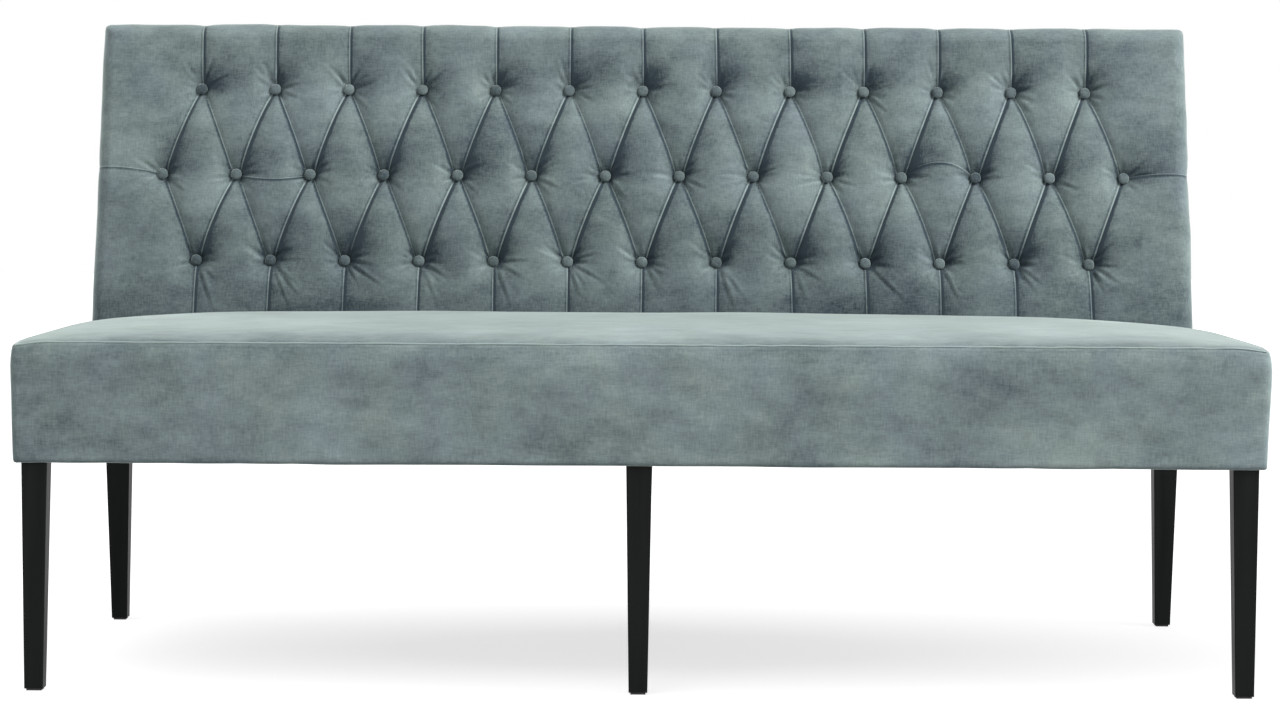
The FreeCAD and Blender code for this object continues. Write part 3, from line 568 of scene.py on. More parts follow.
@dataclass(frozen=True)
class Velvet:
    """Short-pile velvet: cloudy pile, fine threads and a pale sheen."""

    dark: Colour = (0.0255, 0.0380, 0.0480)
    pale: Colour = (0.232, 0.288, 0.272)
    pale_cool: Colour = (0.217, 0.267, 0.275)
    sheen_tint: Colour = (0.86, 0.975, 0.92)
    sheen: float = 0.85
    sheen_roughness: float = 0.36
    roughness: float = 0.92
    specular: float = 0.15
    tone: float = 0.507
    contrast: float = 1.0
    patch: float = 0.26
    hue_scale: float = 13.0
    cloud_scale: float = 9.0
    mottle_scale: float = 46.0
    thread_scale: float = 480.0
    thread: float = 0.80
    thread_depth: float = 0.35 * MILLIMETRE
    nap_depth: float = 0.6 * MILLIMETRE

    def material(self, name: str, folds: bool = False) -> Material:
        """Lay out the velvet's nodes.

        Args:
            name: Name of the material.
            folds: Whether painted shade and highlights kept on the piece's vertices are added to its
                colour.

        Returns:
            The material.
        """
        shader = ShaderBuilder(name)
        clouds = shader.ramp(shader.noise(self.cloud_scale, 3.0, (0.7, 1.0, 1.0)), 0.30, 0.70)
        mottle = shader.ramp(shader.noise(self.mottle_scale, 4.0, (0.55, 1.0, 1.0)), 0.25, 0.75)
        warp = shader.noise(self.thread_scale, 2.0, (1.0, 1.0, 0.20))
        weft = shader.noise(self.thread_scale, 2.0, (0.20, 1.0, 1.0))
        threads = shader.times(shader.plus(warp, weft), 0.5)
        patch = self.patch * self.contrast
        patches = shader.times(shader.plus(clouds, mottle), patch)
        nap_and_painted_shade = shader.plus(patches, shader.times(threads, self.thread))
        nap_and_painted_shade = shader.plus(nap_and_painted_shade, self.tone - 0.50 * self.thread - patch)
        # Painted shade and highlights from the vertices, and the buttons' random tone, shift the nap's mix.
        if folds:
            nap_and_painted_shade = shader.plus(nap_and_painted_shade, shader.attribute(PAINTED_SHADE_AND_TONE))
        cool = shader.blend(nap_and_painted_shade, self.dark, self.pale_cool)
        warm = shader.blend(nap_and_painted_shade, self.dark, self.pale)
        drift = shader.ramp(shader.noise(self.hue_scale, 3.0, (1.0, 1.0, 0.8)), 0.38, 0.62)
        soft = shader.bump(mottle, 0.25, self.nap_depth)
        return shader.finish(
            {
                "Base Color": shader.blend(drift, cool, warm),
                "Normal": shader.bump(threads, 0.55, self.thread_depth, soft),
                "Roughness": self.roughness,
                "Specular IOR Level": self.specular,
                "Sheen Weight": self.sheen,
                "Sheen Roughness": self.sheen_roughness,
                "Sheen Tint": self.sheen_tint,
            }
        )


@dataclass(frozen=True)
class StainedWood:
    """Wood with grain along the piece and a clear lacquer."""

    dark: Colour
    pale: Colour
    roughness: float = 0.42
    gloss_range: float = 0.12
    grain_scale: float = 60.0
    pore_scale: float = 480.0
    stretch: Factors = (1.0, 1.0, 0.06)
    grain_depth: float = 0.12
    specular: float = 0.5

    def material(self, name: str) -> Material:
        """Lay out the wood's nodes.

        Args:
            name: Name of the material.

        Returns:
            The material.
        """
        shader = ShaderBuilder(name)
        grain = shader.ramp(shader.noise(self.grain_scale, 6.0, self.stretch), 0.30, 0.70)
        pores = shader.ramp(shader.noise(self.pore_scale, 2.0, self.stretch), 0.35, 0.60)
        dullest = self.roughness - self.gloss_range / 2.0
        return shader.finish(
            {
                "Base Color": shader.blend(grain, self.dark, self.pale),
                "Roughness": shader.plus(shader.times(grain, self.gloss_range), dullest),
                "Normal": shader.bump(pores, self.grain_depth, 0.2 * MILLIMETRE),
                "Specular IOR Level": self.specular,
            }
        )


@dataclass(frozen=True)
class Fibre:
    """Plain fibrous stuff, such as felt, wadding, foam, webbing or non-woven cloth."""

    dark: Colour
    pale: Colour
    scale: float
    stretch: Factors = (1.0, 1.0, 1.0)
    roughness: float = 0.9
    depth: float = 0.4

    def material(self, name: str) -> Material:
        """Lay out the fibre's nodes.

        Args:
            name: Name of the material.

        Returns:
            The material.
        """
        shader = ShaderBuilder(name)
        fibres = shader.ramp(shader.noise(self.scale, 5.0, self.stretch), 0.30, 0.70)
        return shader.finish(
            {
                "Base Color": shader.blend(fibres, self.dark, self.pale),
                "Normal": shader.bump(fibres, self.depth, 0.4 * MILLIMETRE),
                "Roughness": self.roughness,
            }
        )


@dataclass(frozen=True)
class ZincSteel:
    """Bright plated steel with a faint brushed grain."""

    colour: Colour = (0.62, 0.63, 0.65)
    darker: float = 0.8
    roughness: float = 0.25
    gloss_range: float = 0.15

    def material(self, name: str) -> Material:
        """Lay out the plated steel's nodes.

        Args:
            name: Name of the material.

        Returns:
            The material.
        """
        shader = ShaderBuilder(name)
        brushed = shader.ramp(shader.noise(900.0, 3.0, (1.0, 1.0, 0.1)), 0.3, 0.7)
        dark = tuple(self.darker * part for part in self.colour)
        return shader.finish(
            {
                "Base Color": shader.blend(brushed, dark, self.colour),
                "Roughness": shader.plus(shader.times(brushed, self.gloss_range), self.roughness),
                "Metallic": 1.0,
            }
        )


@dataclass
class Relief:
    """How far points of the flat back are drawn in, and how much shade or light is painted on them."""

    across: Array
    rise: Array
    depth: Array = field(init=False)
    shade: Array = field(init=False)

    def __post_init__(self) -> None:
        """Start level and unshaded."""
        self.depth, self.shade = np.zeros_like(self.across), np.zeros_like(self.across)


@dataclass
class Line:
    """A line on the flat back."""

    points: Array

    def measure(self, spots: Relief, reach: float) -> tuple[Array, Array, Array]:
        """Measure the points within reach of the line's box.

        Args:
            spots: Points of the flat back.
            reach: Distance kept round the box.

        Returns:
            The points' indices, their shares of the way along, and their distances, positive on the
            line's left-hand side.
        """
        low, high = self.points.min(axis=0) - reach, self.points.max(axis=0) + reach
        beside = (spots.across > low[0]) & (spots.across < high[0])
        near = np.nonzero(beside & (spots.rise > low[1]) & (spots.rise < high[1]))[0]
        across, rise = spots.across[near], spots.rise[near]
        best = np.full_like(across, np.inf)
        share, side = np.zeros_like(across), np.zeros_like(across)
        for number, (start, end) in enumerate(zip(self.points, self.points[1:])):
            way = end - start
            off_x, off_w = across - start[0], rise - start[1]
            along = np.clip((off_x * way[0] + off_w * way[1]) / (way @ way), 0.0, 1.0)
            gap_x, gap_w = off_x - along * way[0], off_w - along * way[1]
            gap = np.hypot(gap_x, gap_w)
            closer = gap < best
            best = np.where(closer, gap, best)
            share = np.where(closer, (number + along) / (len(self.points) - 1), share)
            side = np.where(closer, gap * np.sign(way[0] * gap_w - way[1] * gap_x), side)
        return near, share, side


@dataclass
class Pleat(Line):
    """One folded pleat, drawn from its upper to its lower end."""

    run: Run
    depth: float
    end_depth: float
    fold: float

    @property
    def shaded_side(self) -> float:
        """Say whether the tuck's shadow lies on the line's left (1) or right (-1) as it runs down."""
        return 1.0 if self.run in (Run.RISING, Run.UPRIGHT) else -1.0


@dataclass
class Crease(Line):
    """A soft stray wrinkle in the velvet."""

    depth: float
    width: float


def curve(start: Array, first: Array, second: Array, end: Array, count: int = 16) -> Array:
    """Draw a cubic curve through two ends with two handles.

    Args:
        start: First end.
        first: Handle of the first end.
        second: Handle of the last end.
        end: Last end.
        count: Number of pieces.

    Returns:
        Rows of points.
    """
    t = np.linspace(0.0, 1.0, count + 1)[:, None]
    u = 1.0 - t
    return u**3 * start + 3.0 * u * u * t * first + 3.0 * u * t * t * second + t**3 * end


@dataclass
class TuftedBack:
    """The deep-buttoned back: one velvet sheet drawn over foam and held by forty buttons."""

    velvet: Velvet
    lean: float = math.radians(8.9)
    foot_y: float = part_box("back_left_post")[0].y
    foot_z: float = 0.4300
    half_width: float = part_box("back_panel")[1].x + 0.0120
    top: float = 0.5071
    bottom: float = 0.0040
    crest: float = -0.0520
    rear: float = 0.0370
    roll: float = 0.0260
    squareness: float = 6.5
    step: float = 0.0027
    pitch: float = 0.11569
    rows: dict[Row, float] = field(
        default_factory=lambda: {Row.TOP: 0.4011, Row.MIDDLE: 0.2655, Row.BOTTOM: 0.1300}
    )
    counts: dict[Row, int] = field(
        default_factory=lambda: {Row.TOP: 13, Row.MIDDLE: 14, Row.BOTTOM: 13}
    )
    pillow_reach: float = 0.036
    valley: float = 0.0022
    pleat_depth: float = 0.0070
    pleat_end_depth: float = 0.0100
    pleat_start: Spot = (0.0040, -0.0040)
    pleat_end: Spot = (-0.0062, 0.0020)
    pleat_handles: Spot = (0.42, 0.18)
    slants: Spot = (22.0, 25.0)
    uprights: Spot = (9.0, 14.0)
    variety: Spot = (0.85, 1.15)
    falling_fold: float = 0.62
    edge_variety: Spot = (0.40, 0.58)
    edge_fold: float = 0.70
    level_fold: float = 0.45
    edge_margin: float = 0.02
    edge_end_depth: float = 0.0060
    level_depth: float = 0.5
    head_sway: float = 0.002
    foot_sway: float = 0.003
    button_margin: float = 0.003
    pleat_shadow: Band = Band(1.0, 0.0060, 0.0075)
    pleat_shade: float = 0.06
    pleat_foot_shade: float = 0.24
    crease_odds: float = 0.75
    crease_turn: float = 7.0
    crease_start: float = 0.009
    crease_reach: float = 0.9
    crease_foot_reach: float = 1.5
    crease_lengths: Spot = (0.024, 0.062)
    crease_depths: Spot = (0.0010, 0.0022)
    crease_widths: Spot = (0.0022, 0.0036)
    crease_shade: float = 70.0
    dimple_depth: float = 0.0130
    dimple_width: float = 0.0270
    dimple_reach: float = 0.08
    pucker_ring: Band = Band(1.0, 0.018, 0.010)
    puckers: tuple[Spot, ...] = ((0.6, 9.0), (0.4, 14.0))
    pucker_depth: float = 0.0013
    pucker_shade: float = 0.05
    # Painted shade and light round each button: a shaded lobe to the upper right, a lit lobe to the left.
    painted_lobe_reach: float = 0.021
    painted_shade_amounts: Spot = (0.28, 0.50)
    painted_light_amounts: Spot = (0.05, 0.13)
    painted_shade_angles: Spot = (18.0, 60.0)
    painted_light_turns: Spot = (0.0, 0.3)
    painted_shade_width: float = 0.85
    painted_light_width: float = 0.8
    button_shadow: Band = Band(0.16, 0.0, 0.014)
    foot_shade: float = 0.24
    foot_shade_top: float = 0.15
    foot_shade_fade: float = 0.10
    face_shade: float = 0.03
    edge_ease: float = 0.05
    edge_relief: float = 0.1
    slow_waves: Waves = Waves(3, 0.085, 0.0012)
    quick_waves: Waves = Waves(4, 0.030, 0.0005)
    trial_step: float = 0.0070
    pressure: float = 2.0
    swell_cap: float = 0.0045
    pleat_hold: float = 0.0085
    button_hold: float = 0.018
    fold_pieces: int = 40
    button_radius: float = 0.0086
    button_height: float = 0.0042
    button_sink: float = 0.0150
    button_tilt: float = 0.10
    button_shades: Spot = (-0.17, 0.05)
    button_steps: int = 18

    def on_back(self, across: Array, depth: Array, rise: Array) -> Array:
        """Turn places on the leaning back into places in the room.

        Args:
            across: Places along the bench.
            depth: Depths behind the posts' front faces.
            rise: Heights up the lean.

        Returns:
            Rows of coordinates.
        """
        y = self.foot_y + depth * math.cos(self.lean) + rise * math.sin(self.lean)
        z = self.foot_z - depth * math.sin(self.lean) + rise * math.cos(self.lean)
        return np.column_stack((across, y, z))

    def foot_height(self, y: Array) -> Array:
        """Give the height of the pad's lower edge at places from front to rear."""
        return self.foot_z + self.bottom - (y - self.foot_y) * math.tan(self.lean)

    def spans(self) -> tuple[float, float]:
        """Give the flat sheet's half width and its top."""
        over = self.roll * (QUARTER_TURN - 1.0) + self.rear - self.crest - self.roll
        return self.half_width + over, self.top + over

    def unrolled(self, p: Array, q: Array) -> tuple[Array, Array]:
        """Turn shares of the flat sheet's two ways into places along and up it."""
        side, head = self.spans()
        return (2.0 * p - 1.0) * side, self.bottom + q * (head - self.bottom)

    def buttons(self, row: Row) -> list[Spot]:
        """List a row's buttons from left to right."""
        count = self.counts[row]
        return [((i - (count - 1) / 2) * self.pitch, self.rows[row]) for i in range(count)]

    def all_buttons(self) -> list[Spot]:
        """List every button, row by row."""
        return [place for row in Row for place in self.buttons(row)]

    def diamond_lines(self) -> list[tuple[Spot, Spot]]:
        """List the slanting pleats between neighbouring buttons.

        Returns:
            Upper and lower button of each pleat.
        """
        lines = []
        middle = self.buttons(Row.MIDDLE)
        for number, upper in enumerate(self.buttons(Row.TOP)):
            lines += [(upper, middle[number]), (upper, middle[number + 1])]
        for number, lower in enumerate(self.buttons(Row.BOTTOM)):
            lines += [(middle[number], lower), (middle[number + 1], lower)]
        return lines

    def diamond_pleat(self, upper: Spot, lower: Spot, chance: np.random.Generator) -> Pleat:
        """Draw a slanting pleat that leaves one button aslant and comes upright to the next.

        Args:
            upper: The upper button.
            lower: The lower button.
            chance: Source of the small differences.

        Returns:
            The pleat.
        """
        hand = math.copysign(1.0, lower[0] - upper[0])
        mirror = np.array((hand, 1.0))
        start = np.array(upper) + mirror * self.pleat_start
        end = np.array(lower) + mirror * self.pleat_end
        length = float(np.hypot(*(end - start)))
        slant = math.radians(chance.uniform(*self.slants))
        upright = math.radians(chance.uniform(*self.uprights))
        leave, arrive = self.pleat_handles
        first = start + leave * length * np.array((hand * math.sin(slant), -math.cos(slant)))
        second = end + arrive * length * np.array((-hand * math.sin(upright), math.cos(upright)))
        run = Run.FALLING if hand > 0.0 else Run.RISING
        depth = self.pleat_depth * chance.uniform(*self.variety)
        fold = chance.uniform(*self.variety) * (self.falling_fold if run is Run.FALLING else 1.0)
        return Pleat(curve(start, first, second, end), run, depth, self.pleat_end_depth, fold)

    def edge_pleats(self, chance: np.random.Generator) -> list[Pleat]:
        """Draw the pleats that run from the outer buttons to the edges, and two stray ones.

        Args:
            chance: Source of the small differences.

        Returns:
            The pleats.
        """
        lines = []
        side, head = self.spans()
        side, head = side - self.edge_margin, head - self.edge_margin
        gap = self.button_margin
        for x, w in self.buttons(Row.TOP):
            lean = chance.uniform(-self.head_sway, self.head_sway)
            lines.append(((x + lean, head), (x + 0.001, w + gap), Run.UPRIGHT, 0.0))
        for x, w in self.buttons(Row.BOTTOM):
            lean = chance.uniform(-self.foot_sway, self.foot_sway)
            lines.append(((x, w - gap), (x + lean, self.bottom), Run.UPRIGHT, 0.0))
        middle = self.buttons(Row.MIDDLE)
        left, right = middle[0], middle[-1]
        lines += [
            ((-side, left[1] + gap), left, Run.LEVEL, 0.010),
            (right, (side, right[1] - 0.004), Run.LEVEL, 0.010),
            (middle[1], middle[2], Run.LEVEL, -0.012),
            (middle[10], middle[11], Run.LEVEL, 0.030),
        ]
        made = []
        for start, end, run, height in lines:
            first, last = np.array(start), np.array(end)
            third, arch = (last - first) / 3.0, np.array((0.0, height))
            points = curve(first, first + third + arch, last - third + arch, last)
            depth = self.pleat_depth * chance.uniform(*self.edge_variety)
            fold = self.edge_fold
            if run is Run.LEVEL:
                depth, fold = self.level_depth * depth, self.level_fold
            made.append(Pleat(points, run, depth, self.edge_end_depth, fold))
        return made

    @cached_property
    def pleats(self) -> list[Pleat]:
        """Draw every pleat, each a little different from the next.

        Returns:
            The pleats.
        """
        chance = np.random.default_rng(11)
        made = [self.diamond_pleat(upper, lower, chance) for upper, lower in self.diamond_lines()]
        return made + self.edge_pleats(chance)

    @cached_property
    def creases(self) -> list[Crease]:
        """Draw the stray wrinkles of the cloth, in small fans beside the buttons.

        Returns:
            The wrinkles.
        """
        made = []
        chance = np.random.default_rng(5)
        for row, angles in FANS.items():
            for button in self.buttons(row):
                for angle in angles:
                    if chance.random() < self.crease_odds:
                        falls = row is Row.BOTTOM and angle < -30.0
                        reach = self.crease_foot_reach if falls else self.crease_reach
                        made.append(self.fan_crease(button, angle, reach, chance))
        return made

    def fan_crease(self, button: Spot, degrees: float, reach: float, chance: np.random.Generator) -> Crease:
        """Draw one wrinkle that runs out from a button.

        Args:
            button: The button's place.
            degrees: Its rough direction, anticlockwise from the right.
            reach: Factor on its length.
            chance: Source of the small differences.

        Returns:
            The wrinkle.
        """
        angle = math.radians(degrees + chance.uniform(-self.crease_turn, self.crease_turn))
        way = np.array((math.cos(angle), math.sin(angle)))
        start = np.array(button) + self.crease_start * way
        end = start + reach * chance.uniform(*self.crease_lengths) * way
        depth, width = chance.uniform(*self.crease_depths), chance.uniform(*self.crease_widths)
        return Crease(np.array((start, end)), depth, width)

    def add_pleats(self, spots: Relief) -> None:
        """Draw the sheet in along the pleats and paint shadow beside their folds.

        Args:
            spots: Points of the flat sheet.
        """
        power = np.zeros_like(spots.across)
        for pleat in self.pleats:
            near, share, side = pleat.measure(spots, self.pillow_reach)
            far = np.clip((np.hypot(side, self.valley) - self.valley) / self.pillow_reach, 0.0, 1.0)
            pillow = 1.0 - np.sqrt(1.0 - (1.0 - far) ** 2)
            ends = np.abs(2.0 * share - 1.0) ** 3
            if pleat.run is Run.UPRIGHT:
                above = np.mean(pleat.points[:, 1]) > self.rows[Row.TOP]
                ends = (share if above else 1.0 - share) ** 4
            depth = pleat.depth + (pleat.end_depth - pleat.depth) * ends
            power[near] += (depth * pillow) ** 3
            # Painted shadow along each pleat's shaded side, stronger towards its lower end.
            lower = share**2 if pleat.run in (Run.RISING, Run.FALLING) else 0.3
            shadow = self.pleat_shadow.at(side * pleat.shaded_side)
            spots.shade[near] -= (self.pleat_shade + self.pleat_foot_shade * lower) * pleat.fold * shadow
        spots.depth += np.cbrt(power)

    def add_dimples(self, spots: Relief) -> None:
        """Draw the sheet in at the buttons, with puckers round them, and paint shade and light there: shade
        in the puckers and close round each button, a shaded lobe to its upper right and a lit lobe to its
        left.

        Args:
            spots: Points of the flat sheet.
        """
        chance = np.random.default_rng(23)
        for x, w in self.all_buttons():
            phase = chance.uniform(0.0, 2.0 * math.pi, 2)
            off_x, off_w = spots.across - x, spots.rise - w
            near = np.nonzero(np.maximum(np.abs(off_x), np.abs(off_w)) < self.dimple_reach)[0]
            radius = np.hypot(off_x[near], off_w[near])
            angle = np.arctan2(off_w[near], off_x[near])
            funnel = self.dimple_depth * np.exp(-((radius / self.dimple_width) ** 1.3))
            pucker = sum(
                share * np.sin(count * angle + start) for (share, count), start in zip(self.puckers, phase)
            )
            pucker *= self.pucker_ring.at(radius)
            spots.depth[near] += funnel + self.pucker_depth * pucker
            # Painted shade and light: a shaded lobe to the upper right, a lit lobe to the left, shade close
            # round the button and in the puckers.
            swell = radius / self.painted_lobe_reach * np.exp(1.0 - radius / self.painted_lobe_reach)
            shaded = angle - math.radians(chance.uniform(*self.painted_shade_angles))
            lit = np.abs(angle) - math.pi + chance.uniform(*self.painted_light_turns)
            shade = self.pucker_shade * pucker - self.button_shadow.at(radius)
            shade -= chance.uniform(*self.painted_shade_amounts) * swell * bell(shaded, self.painted_shade_width)
            shade += chance.uniform(*self.painted_light_amounts) * swell * bell(lit, self.painted_light_width)
            spots.shade[near] += shade

    def add_creases(self, spots: Relief) -> None:
        """Draw the sheet in along the stray wrinkles and paint shade into them.

        Args:
            spots: Points of the flat sheet.
        """
        for crease in self.creases:
            near, share, side = crease.measure(spots, 4.0 * crease.width)
            fade = smooth(5.0 * share) * smooth(1.6 * (1.0 - share))
            valley = bell(side, crease.width) - 0.7 * bell(side - 1.6 * crease.width, crease.width)
            depth = crease.depth * fade * valley
            spots.depth[near] += depth
            # Painted shade, deeper where the wrinkle is deeper.
            spots.shade[near] -= self.crease_shade * depth

    def relief(self, across: Array, rise: Array) -> Relief:
        """Add up everything that draws the sheet in.

        Args:
            across: Places along the flat sheet.
            rise: Places up the flat sheet.

        Returns:
            The points with their depths and shades.
        """
        spots = Relief(across, rise)
        self.add_pleats(spots)
        self.add_dimples(spots)
        self.add_creases(spots)
        side, head = self.spans()
        edge = np.minimum(side - np.abs(across), head - rise)
        spots.depth += self.slow_waves.at(across, rise) + self.quick_waves.at(across, rise)
        spots.depth *= smooth(edge / self.edge_ease) * (1.0 - self.edge_relief) + self.edge_relief
        # Painted shade: the sheet darkens towards its foot, where the seat shades it; the whole face also
        # gets a slightly darker tone.
        low = smooth((self.foot_shade_top - rise) / self.foot_shade_fade)
        spots.shade -= self.foot_shade * low + self.face_shade
        return spots

    def wrap(self, spots: Relief, lift: Array | float = 0.0) -> Array:
        """Lay the flat sheet over the pad's face and round its rolled edges.

        Args:
            spots: Points of the flat sheet.
            lift: How far they stand above their depths.

        Returns:
            Rows of coordinates.
        """
        depth = spots.depth - lift
        flat_x, flat_w = self.half_width - self.roll, self.top - self.roll
        past_x = np.maximum(np.abs(spots.across) - flat_x, 0.0)
        past_w = np.maximum(spots.rise - flat_w, 0.0)
        reach = np.maximum(past_x, past_w)
        safe = np.maximum(reach, TINY)
        half = QUARTER_TURN / 2.0
        turn = np.where(past_x >= past_w, half * past_w / safe, QUARTER_TURN - half * past_x / safe)
        cosine, sine = np.cos(turn), np.sin(turn)
        power = self.squareness
        even = (np.abs(cosine) ** power + np.abs(sine) ** power) ** (1.0 / power)
        angle = np.minimum(reach / self.roll, QUARTER_TURN)
        out = (self.roll - depth) * np.sin(angle)
        back = self.roll * (1.0 - np.cos(angle)) + np.maximum(reach - self.roll * QUARTER_TURN, 0.0)
        x = np.sign(spots.across) * (np.minimum(np.abs(spots.across), flat_x) + out * cosine / even)
        w = np.minimum(spots.rise, flat_w) + out * np.where(reach > 0.0, sine, 0.0) / even
        return self.on_back(x, self.crest + back + depth * np.cos(angle), w)

    def build(self) -> None:
        """Build the velvet sheet, closed behind."""
        side, head = self.spans()
        sheet, p, q = grid(round(2.0 * side / self.step), round((head - self.bottom) / self.step))
        spots = self.relief(*self.unrolled(p, q))
        move_points(sheet, self.wrap(spots, self.swell(p, q)))
        shade_points(sheet, spots.shade)
        self.close(sheet)
        finish = replace(self.velvet, contrast=0.92).material("velvet_back", folds=True)
        piece = new_piece("back_cushion", sheet, finish, "velvet", "back_pad")

    def swell(self, p: Array, q: Array) -> Array:
        """Let simulated cloth fill the pillows between the pleats and the buttons.

        Args:
            p: Shares of the way across the flat sheet.
            q: Shares of the way up it.

        Returns:
            Lifts in metres.
        """
        side, head = self.spans()
        trial = ClothTrial(2.0 * side, head - self.bottom, self.trial_step, self.pressure, self.swell_cap)
        across, up = trial.shares()
        spots = self.relief(*self.unrolled(across, up))
        pinned = (np.abs(spots.across) > self.half_width - self.roll) | (up < 0.01)
        pinned |= spots.rise > self.top - self.roll
        for pleat in self.pleats:
            near, _, gap = pleat.measure(spots, self.trial_step + self.pleat_hold)
            pinned[near] |= np.abs(gap) < self.pleat_hold
        for x, w in self.all_buttons():
            pinned |= np.hypot(spots.across - x, spots.rise - w) < self.button_hold
        outward = Vector((0.0, -math.cos(self.lean), math.sin(self.lean)))
        return trial.sample(trial.lifts(self.wrap(spots), pinned, outward), p, q)

    def close(self, sheet: Shape) -> None:
        """Close the sheet behind and below.

        Args:
            sheet: The wrapped sheet.
        """
        rim = open_edges(sheet)
        lean = Vector((0.0, math.cos(self.lean), -math.sin(self.lean)))
        foot = Vector((0.0, self.foot_y, self.foot_z))
        level = self.rear - 2.0 * MILLIMETRE
        behind = [edge for edge in rim if all((v.co - foot).dot(lean) > level for v in edge.verts)]
        kept = set(rim) - set(behind)
        below = [edge for edge in rim if edge in kept]
        corners = {vertex for edge in below for vertex in edge.verts}
        ends = [vertex for vertex in corners if sum(edge in kept for edge in vertex.link_edges) == 1]
        bridge = sheet.edges.new(ends)
        for loop in (behind, below):
            bmesh.ops.edgeloop_fill(sheet, edges=loop + [bridge])
        face_outwards(sheet)

    def build_folds(self) -> None:
        """Build the tucks of cloth that lie over the pleats."""
        folds = bmesh.new()
        shades = []
        for pleat in self.pleats:
            strip, shade = self.fold_strip(pleat)
            join_shapes(folds, strip)
            shades.append(shade)
        shade_points(folds, np.concatenate(shades))
        face_outwards(folds)
        new_piece("back_pleat_folds", folds, self.velvet.material("velvet_folds", folds=True), "velvet")

    def fold_strip(self, pleat: Pleat) -> tuple[Shape, Array]:
        """Lay one rounded tuck along a pleat.

        Args:
            pleat: The pleat that it follows.

        Returns:
            The tuck and its painted shade and highlight at each vertex.
        """
        last = len(FOLD_SECTION) - 1
        strip, share, around = grid(self.fold_pieces, last)
        shift, lift, painted_tuck_light = FOLD_SECTION[np.rint(around * last).astype(int)].T
        marks = np.linspace(0.0, 1.0, len(pleat.points))
        way = np.gradient(pleat.points, axis=0)
        way /= np.hypot(way[:, 0], way[:, 1])[:, None]
        grown = pleat.fold * (0.50 + 0.50 * smooth(share / 0.15))
        shift = shift * MILLIMETRE * pleat.shaded_side * (0.4 + 0.6 * pleat.fold)
        across = np.interp(share, marks, pleat.points[:, 0]) + np.interp(share, marks, -way[:, 1]) * shift
        rise = np.interp(share, marks, pleat.points[:, 1]) + np.interp(share, marks, way[:, 0]) * shift
        spots = self.relief(across, rise)
        move_points(strip, self.wrap(spots, lift * MILLIMETRE * np.maximum(grown, 0.3)))
        return strip, spots.shade + painted_tuck_light * grown

    def build_buttons(self) -> None:
        """Build the forty covered buttons."""
        chance = np.random.default_rng(31)
        buttons = bmesh.new()
        for x, w in self.all_buttons():
            place = self.on_back(x, self.crest + self.button_sink, w)[0]
            turn = Matrix.Rotation(-self.lean, 4, "X")
            for axis in "XZ":
                turn = turn @ Matrix.Rotation(chance.uniform(-self.button_tilt, self.button_tilt), 4, axis)
            self.add_button(buttons, Matrix.Translation(place) @ turn)
        face_outwards(buttons)
        count = len(self.all_buttons())
        shades = chance.uniform(*self.button_shades, count)
        shade_points(buttons, np.repeat(shades, len(buttons.verts) // count))
        # The buttons get a darker copy of the velvet: painted shade of the dimples that they sit in.
        finish = replace(self.velvet, tone=0.35).material("velvet_buttons", folds=True)
        new_piece("back_button_set", buttons, finish, "velvet", "back_buttons")

    def add_button(self, buttons: Shape, place: Matrix) -> None:
        """Turn one domed button about its axis.

        Args:
            buttons: The set that it joins.
            place: Its place and tilt, with its face towards -Y.
        """
        radius, height = self.button_radius, self.button_height
        button = bmesh.new()
        corners = [button.verts.new((radius * out, -height * up, 0.0)) for out, up in BUTTON_SECTION]
        edges = [button.edges.new(pair) for pair in zip(corners, corners[1:])]
        bmesh.ops.spin(
            button, geom=corners + edges, cent=(0.0, 0.0, 0.0), axis=(0.0, 1.0, 0.0),
            angle=2.0 * math.pi, steps=self.button_steps, use_merge=True,
        )
        bmesh.ops.remove_doubles(button, verts=button.verts[:], dist=0.001 * MILLIMETRE)
        bmesh.ops.transform(button, matrix=place, verts=button.verts[:])
        join_shapes(buttons, button)


